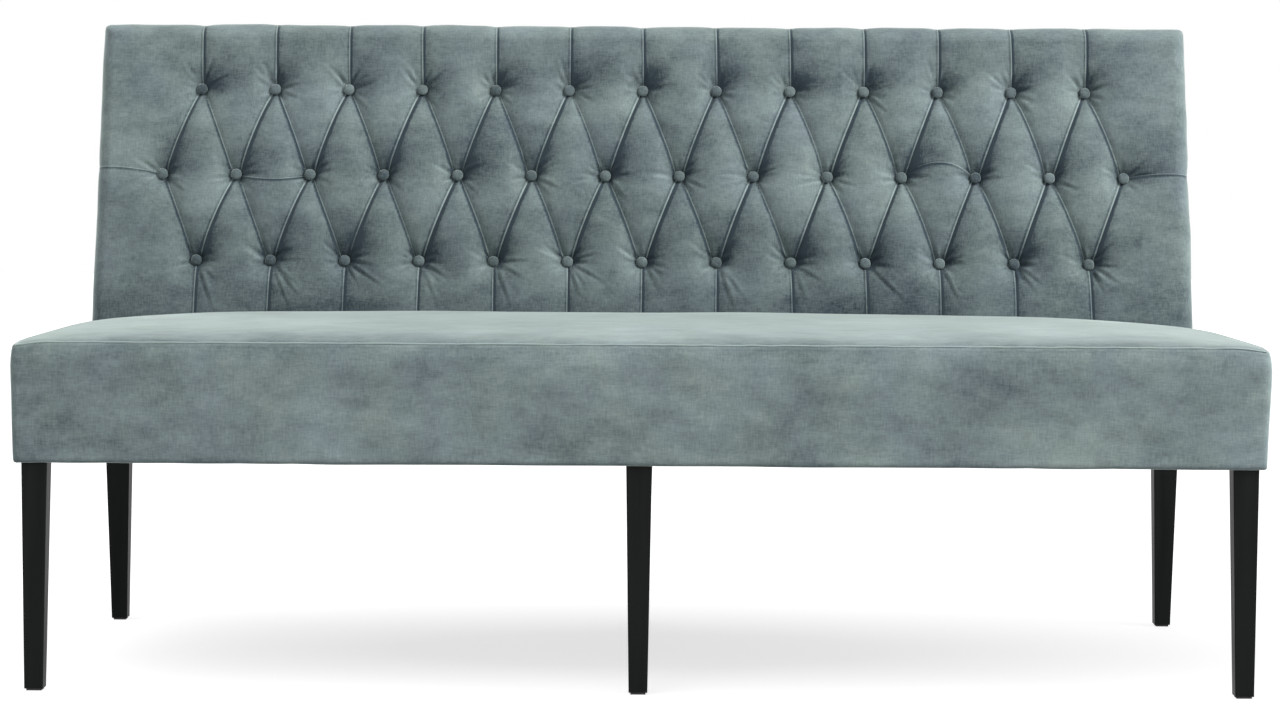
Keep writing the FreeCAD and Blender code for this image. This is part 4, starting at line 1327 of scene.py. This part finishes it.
@dataclass
class SeatCushion:
    """The crowned seat: a sewn top panel over a boxed border that wraps the frame."""

    velvet: Velvet
    back: TuftedBack
    half_width: float = 0.8502
    front: float = -0.3130
    rear: float = 0.2365
    top_rear: float = 0.1520
    hem: float = 0.3090
    seam: float = 0.4715
    crown: float = 0.0118
    left_slope: float = 0.065
    right_slope: float = 0.100
    front_slope: float = 0.110
    end_droop: float = 0.16
    edge_roll: Fade = Fade(0.0014, 0.006)
    front_roll: Fade = Fade(0.0030, 0.025)
    end_roll: Fade = Fade(1.0, 0.080)
    rear_tuck: float = 0.010
    trial_step: float = 0.0120
    pressure: float = 2.0
    swell_cap: float = 0.0060
    corner: float = 0.0120
    seam_inset: float = 0.0045
    seam_ridge: float = 0.0011
    seam_step: float = 0.006
    seam_rise: float = 0.0008
    seam_end_drop: float = 0.0022
    hem_inset: float = 0.0062
    hem_width: float = 0.0300
    rear_dip: float = 0.0120
    rear_dip_right: float = 1.5
    rear_dip_depth: float = 0.22
    dip_reach: float = 0.14
    corner_dip: Band = Band(0.0050, 0.0, 0.030)
    seam_hold: float = 0.006
    skirt_end: float = 0.8
    skirt_front: float = 0.2
    skirt: tuple[Spot, ...] = ((0.004, 0.0012), (0.012, 0.006), (0.058, 0.016))
    step: float = 0.0050
    border_lines: int = 72
    border_crowding: float = 1.6
    border_fullest: float = 0.83
    foot_gap: float = 0.0010
    slow_waves: Waves = Waves(7, 0.11, 0.0009)
    quick_waves: Waves = Waves(8, 0.035, 0.0005)
    hem_waves: Waves = Waves(9, 0.09, 0.0014)
    top_waves: Waves = Waves(12, 0.16, 0.0010)
    seam_waves: Waves = Waves(15, 0.02, 0.0004)
    seam_light: Band = Band(0.05, 0.0008, 0.0014)
    seam_shadow: Band = Band(-0.09, 0.0050, 0.0011)
    hem_shadow: Band = Band(-0.10, 0.0, 0.02)
    left_shade: Fade = Fade(0.17, 0.07)
    front_shade: Fade = Fade(0.10, 0.045)
    left_end_shade: Fade = Fade(0.20, 0.11)
    right_end_shade: Fade = Fade(0.14, 0.36)
    end_shade_depth: Fade = Fade(1.0, 0.18)
    right_painted_shade: Fade = Fade(0.06, 0.40)
    end_painted_shade: Fade = Fade(0.10, 0.06)

    def border_profile(self) -> Array:
        """Give the border's section as outward offsets and heights, from hem to seam.

        Returns:
            Rows of offset and height.
        """
        hem = self.hem_inset
        shares = [
            (-hem - self.hem_width, 0.0), (-hem - 0.003, 0.0), (-hem, 0.015),
            (-0.82 * hem, 0.15), (-0.45 * hem, 0.45), (-0.10 * hem, 0.72),
            (0.0, self.border_fullest), (-0.0006, 0.90), (-0.0018, 0.955), (-0.0030, 0.982),
            (-0.0038, 0.995), (-self.seam_inset - 0.0010, 1.0),
        ]
        return np.array([(out, self.hem + share * (self.seam - self.hem)) for out, share in shares])

    def section(self, share: Array) -> tuple[Array, Array]:
        """Read the border's section at shares of its length.

        Args:
            share: Shares from the hem's inner edge to the seam.

        Returns:
            Offsets and heights.
        """
        profile = self.border_profile()
        lengths = np.hypot(*np.diff(profile, axis=0).T)
        marks = np.concatenate(([0.0], np.cumsum(lengths))) / lengths.sum()
        return np.interp(share, marks, profile[:, 0]), np.interp(share, marks, profile[:, 1])

    def border_length(self) -> float:
        """Give the border's length round the seat, with its corners taken as square."""
        return 2.0 * (self.rear - self.front + self.half_width)

    def path(self, share: Array) -> tuple[Array, Array, Array, Array]:
        """Follow the border round the seat from the left rear to the right rear.

        Args:
            share: Shares of the way.

        Returns:
            X and Y of the full line, and X and Y of the outward direction.
        """
        straight = self.rear - self.front - self.corner
        bend = self.corner * QUARTER_TURN
        across = 2.0 * (self.half_width - self.corner)
        total = 2.0 * straight + 2.0 * bend + across
        way = np.minimum(share, 1.0 - share) * total
        side = np.where(share < 0.5, -1.0, 1.0)
        turned = np.clip((way - straight) / bend, 0.0, 1.0) * QUARTER_TURN
        inner_x = self.half_width - self.corner - np.maximum(way - straight - bend, 0.0)
        inner_y = self.rear - np.minimum(way, straight)
        out_x, out_y = side * np.cos(turned), -np.sin(turned)
        return side * inner_x + self.corner * out_x, inner_y + self.corner * out_y, out_x, out_y

    def dip(self, x: Array, y: Array) -> Array:
        """Work out how far the seat's ends sink towards the back and its front corners draw down.

        Args:
            x: Places across the seat.
            y: Places from front to rear.

        Returns:
            Depths in metres.
        """
        to_side = self.half_width - np.abs(x)
        near = np.exp(-np.maximum(to_side, 0.0) / self.dip_reach)
        behind = smooth((y - self.top_rear + self.rear_dip_depth) / self.rear_dip_depth)
        behind *= self.rear_dip * np.where(x > 0.0, self.rear_dip_right, 1.0)
        return behind * near + self.corner_dip.at(np.hypot(to_side, y - self.front))

    def build_seam(self) -> None:
        """Build the fine ridge of cloth along the seam of the top panel, in paler velvet as a painted
        highlight.
        """
        length = 2.0 * (self.top_rear - self.front + self.half_width)
        ridge, p, q = grid(round(length / self.seam_step), 8)
        share = 0.5 + (2.0 * p - 1.0) * (0.5 - (self.rear - self.top_rear) / self.border_length())
        x, y, out_x, out_y = self.path(share)
        turn = 2.0 * math.pi * q
        offset = -self.seam_inset + self.seam_ridge * np.cos(turn)
        z = self.seam - self.dip(x, y) + self.seam_rise - self.seam_end_drop * out_x**2
        z += self.seam_ridge * np.sin(turn) + self.seam_waves.at(share * length, np.zeros_like(share))
        move_points(ridge, np.column_stack((x + out_x * offset, y + out_y * offset, z)))
        bmesh.ops.remove_doubles(ridge, verts=ridge.verts[:], dist=0.01 * MILLIMETRE)
        bmesh.ops.holes_fill(ridge, edges=open_edges(ridge))
        face_outwards(ridge)
        # A paler copy of the velvet: painted highlight along the seam.
        new_piece("seat_seam", ridge, replace(self.velvet, tone=1.15).material("velvet_seam_highlight"), "velvet")

    def build_border(self) -> None:
        """Build the boxed border with its hem turned under the frame."""
        length, full = self.border_length(), self.seam - self.hem
        strip, share, q = grid(round(length / self.step), self.border_lines)
        x, y, out_x, out_y = self.path(share)
        offset, z = self.section(1.0 - (1.0 - q) ** self.border_crowding)
        along = share * length
        tall = np.clip((z - self.hem) / full, 0.0, 1.0)
        seam = self.seam - self.dip(x, y)
        foot = self.back.foot_height(y) + self.foot_gap
        lowered = foot + (seam - foot) * smooth((self.top_rear - 0.002 - y) / 0.012)
        z = self.hem + (z - self.hem) * (lowered - self.hem) / full
        waves = self.slow_waves.at(along, z) + self.quick_waves.at(along, 0.6 * z)
        hem_waves = np.abs(self.hem_waves.at(along, np.zeros_like(along))) * np.exp(-tall / 0.10)
        body = smooth(np.minimum(tall, 1.0 - tall) / 0.08)
        beside_back = smooth((y - self.top_rear + 0.004) / 0.010)
        offset = np.where(tall > self.border_fullest, offset * (1.0 - beside_back), offset)
        offset = offset + waves * body + 0.8 * hem_waves
        near = np.maximum(offset, -0.5 * self.corner)
        x, y = x + out_x * near, y + out_y * near
        x = np.clip(x, -self.half_width - offset, self.half_width + offset)
        y = np.maximum(y, self.front - offset)
        move_points(strip, np.column_stack((x, y, z - 0.6 * hem_waves)))
        # Painted light and shade: a pale line just under the seam, a dark line below it and painted shadow
        # at the hem; the front also darkens towards the left end.
        below_seam = (1.0 - tall) * full
        shade = self.seam_light.at(below_seam) + self.seam_shadow.at(below_seam) + self.hem_shadow.at(tall)
        shade += np.minimum(out_y, 0.0) * self.left_shade.at(np.abs(x + self.half_width))
        shade_points(strip, shade)
        bmesh.ops.remove_doubles(strip, verts=strip.verts[:], dist=0.2 * MILLIMETRE)
        face_outwards(strip)
        finish = replace(self.velvet, contrast=1.10, tone=0.54).material("velvet_border", folds=True)
        new_piece("seat_border", strip, finish, "velvet", "seat_cover")

    def panel_spans(self) -> tuple[float, float, float]:
        """Give the top panel's half width, its front edge and its depth."""
        low_y = self.front + self.seam_inset
        return self.half_width - self.seam_inset, low_y, self.top_rear - low_y

    def build_top(self) -> None:
        """Build the crowned top panel with its foam, as one closed form."""
        wide, low_y, deep = self.panel_spans()
        panel, p, q = grid(round(2.0 * wide / self.step), round(deep / self.step))
        x, y = self.rounded((2.0 * p - 1.0) * wide, low_y + q * deep)
        to_side, to_front = wide - np.abs(x), y - low_y
        edge = np.minimum(to_side, to_front)
        slope = np.where(x > 0.0, self.right_slope, self.left_slope)
        rise = (1.0 - np.exp(-to_side / slope)) * (1.0 - np.exp(-to_front / self.front_slope))
        z = self.seam - self.dip(x, y)
        z += self.crown * rise * (1.0 - self.end_droop * np.abs(x / wide) ** 3)
        z += self.swell((x / wide + 1.0) / 2.0, to_front / deep)
        z += self.top_waves.at(x, y) * smooth(edge / 0.05) + self.edge_roll.grown(edge)
        z += self.front_roll.grown(to_front) * self.end_roll.grown(to_side)
        z -= self.rear_tuck * smooth((y - self.top_rear + 0.010) / 0.010)
        move_points(panel, np.column_stack((x, y, z)))
        # Painted shade: the panel darkens towards its front edge and its ends, more on the right, where it
        # rolls away from the light and shows less sheen.
        ends = np.where(x < 0.0, self.left_end_shade.at(to_side), self.right_end_shade.at(to_side))
        shade = self.front_shade.at(to_front) + ends * self.end_shade_depth.at(to_front)
        shade += np.where(x > 0.0, self.right_painted_shade.at(to_side), 0.0) + self.end_painted_shade.at(to_side)
        shade_points(panel, -shade)
        self.close_top(panel)
        # A paler copy of the velvet with less sheen: painted light on the top, which faces the overhead
        # lamp.
        cloth = replace(self.velvet, tone=0.58, contrast=1.35, sheen=0.70, nap_depth=1.2 * MILLIMETRE)
        finish = cloth.material("velvet_seat", folds=True)
        piece = new_piece("seat_top", panel, finish, "velvet", "seat_foam")

    def swell(self, across: Array, along: Array) -> Array:
        """Let simulated cloth fill the top panel between its seams.

        Args:
            across: Shares of the way over the seat's width.
            along: Shares of the way from front to rear.

        Returns:
            Lifts in metres.
        """
        wide, low_y, deep = self.panel_spans()
        trial = ClothTrial(2.0 * wide, deep, self.trial_step, self.pressure, self.swell_cap)
        p, q = trial.shares()
        places = np.column_stack(((2.0 * p - 1.0) * wide, low_y + q * deep, np.full_like(p, self.seam)))
        edge = np.minimum(np.minimum(p, 1.0 - p) * 2.0 * wide, np.minimum(q, 1.0 - q) * deep)
        lifts = trial.lifts(places, edge < self.seam_hold, Vector((0.0, 0.0, 1.0)))
        return trial.sample(lifts, across, along)

    def rounded(self, x: Array, y: Array) -> tuple[Array, Array]:
        """Round the panel's front corners.

        Args:
            x: Places along the panel.
            y: Places from front to back.

        Returns:
            The moved places.
        """
        wide, low_y, _ = self.panel_spans()
        radius = self.corner - self.seam_inset
        past_x = np.maximum(np.abs(x) - (wide - radius), 0.0)
        past_y = np.maximum(low_y + radius - y, 0.0)
        reach = np.maximum(past_x, past_y)
        length = np.maximum(np.hypot(past_x, past_y), TINY)
        inner_x, inner_y = np.abs(x) - past_x, y + past_y
        return np.sign(x) * (inner_x + past_x / length * reach), inner_y - past_y / length * reach

    def close_top(self, panel: Shape) -> None:
        """Give the panel a drawn-in skirt down to the webbing and close it.

        Args:
            panel: The crowned sheet.
        """
        front_y = (self.front + self.top_rear) / 2.0 - self.skirt_front
        rim = open_edges(panel)
        for drop, inset in self.skirt:
            grown = bmesh.ops.extrude_edge_only(panel, edges=rim)["geom"]
            rim = [item for item in grown if isinstance(item, bmesh.types.BMEdge) and item.is_boundary]
            for vertex in (item for item in grown if isinstance(item, bmesh.types.BMVert)):
                vertex.co.x -= math.copysign(inset, vertex.co.x) * (abs(vertex.co.x) > self.skirt_end)
                vertex.co.y += inset * (vertex.co.y < front_y)
                vertex.co.z -= drop
        bmesh.ops.edgeloop_fill(panel, edges=rim)
        face_outwards(panel)


@dataclass
class RearCover:
    """The plain velvet panel that closes the back behind."""

    velvet: Velvet
    back: TuftedBack
    half_width: float = 0.8490
    low: float = 0.3090
    top: float = 0.4965
    depth: float = 0.0400
    thickness: float = 0.0018
    tuck: Fade = Fade(0.006, 0.004)
    waves: Waves = Waves(17, 0.14, 0.0008)
    step: float = 0.0080

    def build(self) -> None:
        """Build the panel along the dog-legged posts."""
        below = self.back.foot_z - self.low
        tall = self.top + below
        sheet, p, q = grid(round(2.0 * self.half_width / self.step), round(tall / self.step))
        x, rise = (2.0 * p - 1.0) * self.half_width, q * tall - below
        edge = np.minimum(self.half_width - np.abs(x), np.minimum(rise + below, self.top - rise))
        depth = self.depth + self.waves.at(x, rise) - self.tuck.at(edge)
        leaning = self.back.on_back(x, depth, rise)
        upright = np.column_stack((x, self.back.foot_y + depth, self.back.foot_z + rise))
        move_points(sheet, upright + (leaning - upright) * smooth((rise + 0.03) / 0.06)[:, None])
        face_outwards(sheet)
        bmesh.ops.solidify(sheet, geom=sheet.faces[:], thickness=self.thickness)
        face_outwards(sheet)
        finish = self.velvet.material("velvet_rear")
        new_piece("rear_cover", sheet, finish, "velvet", "back_outer_cover", "back_liner")


@dataclass
class DustCover:
    """The thin black cloth stapled under the seat."""

    cloth: Fibre = Fibre((0.010, 0.010, 0.011), (0.024, 0.024, 0.025), 420.0, depth=0.6)
    step: float = 0.012
    sag: float = 0.003
    waves: Waves = Waves(19, 0.06, 0.0006)

    def build(self) -> None:
        """Build the cloth with a slight sag between the rails."""
        low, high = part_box("dust_cover")
        centre, size = (low + high) / 2.0, high - low
        sheet, p, q = grid(round(size.x / self.step), round(size.y / self.step))
        along, over = 2.0 * p - 1.0, 2.0 * q - 1.0
        x, y = centre.x + along * size.x / 2.0, centre.y + over * size.y / 2.0
        z = centre.z - (self.sag * (1.0 - along**4) - self.waves.at(x, y)) * (1.0 - over**2)
        move_points(sheet, np.column_stack((x, y, z)))
        for face in sheet.faces:
            face.normal_flip()
        finish = self.cloth.material("non_woven_cloth")
        piece = new_piece("under_cloth", sheet, finish, "dust_cloth", "dust_cover")


@dataclass
class Framework:
    """The frame's own pieces, which keep their shapes and get their finishes."""

    nodes: dict[str, Piece]
    black_wood: StainedWood = StainedWood(
        (0.0050, 0.0058, 0.0056), (0.0088, 0.0100, 0.0095), 0.36, specular=0.05
    )
    beech: StainedWood = StainedWood((0.50, 0.33, 0.19), (0.66, 0.48, 0.31), 0.6)
    plywood: StainedWood = StainedWood(
        (0.52, 0.38, 0.23), (0.70, 0.55, 0.37), 0.65, stretch=(0.06, 1.0, 1.0)
    )
    webbing: Fibre = Fibre((0.10, 0.09, 0.08), (0.20, 0.17, 0.15), 500.0, (1.0, 0.2, 1.0))
    felt: Fibre = Fibre((0.03, 0.03, 0.03), (0.07, 0.07, 0.07), 700.0)
    steel: ZincSteel = ZincSteel()

    def dress(self) -> None:
        """Give every kept node the finish of its slot."""
        finishes = {
            "black_wood": self.black_wood.material("black_stained_wood"),
            "beech": self.beech.material("beech_wood"),
            "plywood": self.plywood.material("birch_plywood"),
            "webbing": self.webbing.material("elastic_webbing"),
            "felt": self.felt.material("black_felt"),
            "zinc_steel": self.steel.material("zinc_plated_steel"),
        }
        for row in frame["record"]["subparts"]:
            finish = finishes.get(row["material_slot"])
            if finish is not None:
                node = self.nodes[row["node"]]
                node.data.materials.clear()
                node.data.materials.append(finish)
                LOG.info("dressed %s in %s", row["node"], finish.name)


@dataclass(frozen=True)
class Lamp:
    """A soft lamp that points at a part of the bench."""

    name: str
    place: Place
    target: Place
    size: Spot
    power: float
    mirrored: bool = True
    lights_floor: bool = True

    def hang(self) -> Piece:
        """Hang the lamp in the scene.

        Returns:
            The lamp.
        """
        light = bpy.data.lights.new(self.name, "AREA")
        light.shape = "RECTANGLE"
        light.size, light.size_y = self.size
        light.energy = self.power
        lamp = bpy.data.objects.new(self.name, light)
        aim = (Vector(self.target) - Vector(self.place)).to_track_quat("-Z", "Y")
        lamp.matrix_world = Matrix.Translation(self.place) @ aim.to_matrix().to_4x4()
        lamp.visible_glossy = self.mirrored
        bpy.context.scene.collection.objects.link(lamp)
        return lamp


@dataclass
class Studio:
    """Pale floor, soft light and the camera."""

    lens: float = 64.72
    sensor: float = 36.0
    camera_place: Place = (0.0172, -3.4003, 0.7065)
    yaw: float = math.radians(0.42)
    roll: float = math.radians(0.30)
    shift: Spot = (0.0027, -0.1478)
    ambient: float = 0.32
    lamps: tuple[Lamp, ...] = (
        Lamp("overhead", (-1.6, -0.7, 2.9), (-0.8, -0.1, 0.47), (3.2, 1.8), 47.0),
        Lamp("low", (0.0, -1.2, 0.04), (0.0, -0.3, 0.40), (4.4, 0.5), 20.0, mirrored=False),
        Lamp("left_side", (-3.0, -0.6, 1.1), (-0.8, -0.1, 0.5), (1.6, 1.6), 9.0),
        Lamp("right_side", (3.0, -0.6, 0.85), (0.8, -0.1, 0.7), (1.6, 1.6), 33.0),
        Lamp("key", (5.2, -2.4, 5.4), (0.0, 0.0, 0.6), (2.4, 2.4), 860.0, lights_floor=False),
        Lamp("left_rim", (-2.3, 1.2, 1.0), (-0.85, 0.0, 0.6), (1.0, 1.2), 14.0, lights_floor=False),
        Lamp("right_rim", (2.3, 1.2, 1.0), (0.85, 0.0, 0.6), (1.0, 1.2), 15.0, lights_floor=False),
    )
    floor_glow: float = 0.64
    floor_size: float = 12.0
    floor_oval: Factors = (0.42, 1.3, 1.0)

    def build(self) -> None:
        """Set up the whole studio."""
        bpy.context.scene.view_settings.view_transform = "Standard"
        self.build_camera()
        self.build_world()
        self.hang_lamps(self.build_floor())

    def build_camera(self) -> None:
        """Place the camera level with the photograph's horizon."""
        lens = bpy.data.cameras.new("camera")
        lens.lens = self.lens
        lens.sensor_width = self.sensor
        lens.shift_x, lens.shift_y = self.shift
        camera = bpy.data.objects.new("camera", lens)
        level = Matrix.Rotation(self.yaw, 4, "Z") @ Matrix.Rotation(QUARTER_TURN, 4, "X")
        turn = level @ Matrix.Rotation(self.roll, 4, "Z")
        camera.matrix_world = Matrix.Translation(self.camera_place) @ turn
        bpy.context.scene.collection.objects.link(camera)
        bpy.context.scene.camera = camera

    def build_world(self) -> None:
        """Show a white surround to the camera and give even light to the bench."""
        world = bpy.data.worlds.new("studio")
        world.use_nodes = True
        bpy.context.scene.world = world
        nodes = NodeBuilder(world.node_tree)
        strength = nodes.add("ShaderNodeMapRange")
        nodes.feed(strength.inputs["To Min"], self.ambient)
        nodes.feed(strength.inputs["Value"], nodes.seen())
        background = world.node_tree.nodes["Background"]
        nodes.feed(background.inputs["Color"], (1.0, 1.0, 1.0))
        nodes.feed(background.inputs["Strength"], strength.outputs["Result"])

    def hang_lamps(self, floor: Piece) -> None:
        """Hang the lamps, and keep some of them off the floor, whose only shadow falls from above.

        Args:
            floor: The floor.
        """
        spared = bpy.data.collections.new("spared_floor")
        spared.objects.link(floor)
        for lamp in self.lamps:
            hung = lamp.hang()
            if not lamp.lights_floor:
                hung.light_linking.receiver_collection = spared
        spared.collection_objects[0].light_linking.link_state = "EXCLUDE"

    def build_floor(self) -> Piece:
        """Lay the pale floor that keeps the bench's shadow.

        Returns:
            The floor.
        """
        plane, _, _ = grid(1, 1)
        bmesh.ops.scale(plane, vec=(self.floor_size, self.floor_size, 1.0), verts=plane.verts[:])
        floor = new_object("floor", plane)
        shader = ShaderBuilder("pale_floor")
        dust = shader.ramp(shader.noise(1.5, 3.0), 0.3, 0.7)
        away = shader.add("ShaderNodeVectorMath", operation="LENGTH")
        shader.feed(away.inputs[0], shader.stretched(self.floor_oval))
        far = shader.ramp(away.outputs["Value"], 0.15, 0.75)
        glow = shader.plus(shader.times(far, 1.0 - self.floor_glow), self.floor_glow)
        finish = shader.finish(
            {
                "Base Color": shader.blend(dust, (0.44, 0.44, 0.44), (0.46, 0.46, 0.46)),
                "Roughness": 0.9,
                "Emission Color": (1.0, 1.0, 1.0),
                "Emission Strength": shader.times(shader.seen(), glow),
            }
        )
        floor.data.materials.append(finish)
        return floor


def main() -> None:
    """Build the bench piece by piece and light it."""
    logging.basicConfig(level=logging.INFO, format="%(name)s: %(message)s")
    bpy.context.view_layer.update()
    velvet = Velvet()
    Framework(frame["nodes"]).dress()
    back = TuftedBack(velvet)
    back.build()
    back.build_folds()
    back.build_buttons()
    seat = SeatCushion(velvet, back)
    seat.build_border()
    seat.build_seam()
    seat.build_top()
    RearCover(velvet, back).build()
    DustCover().build()
    Studio().build()


if __name__ == "__main__":
    main()
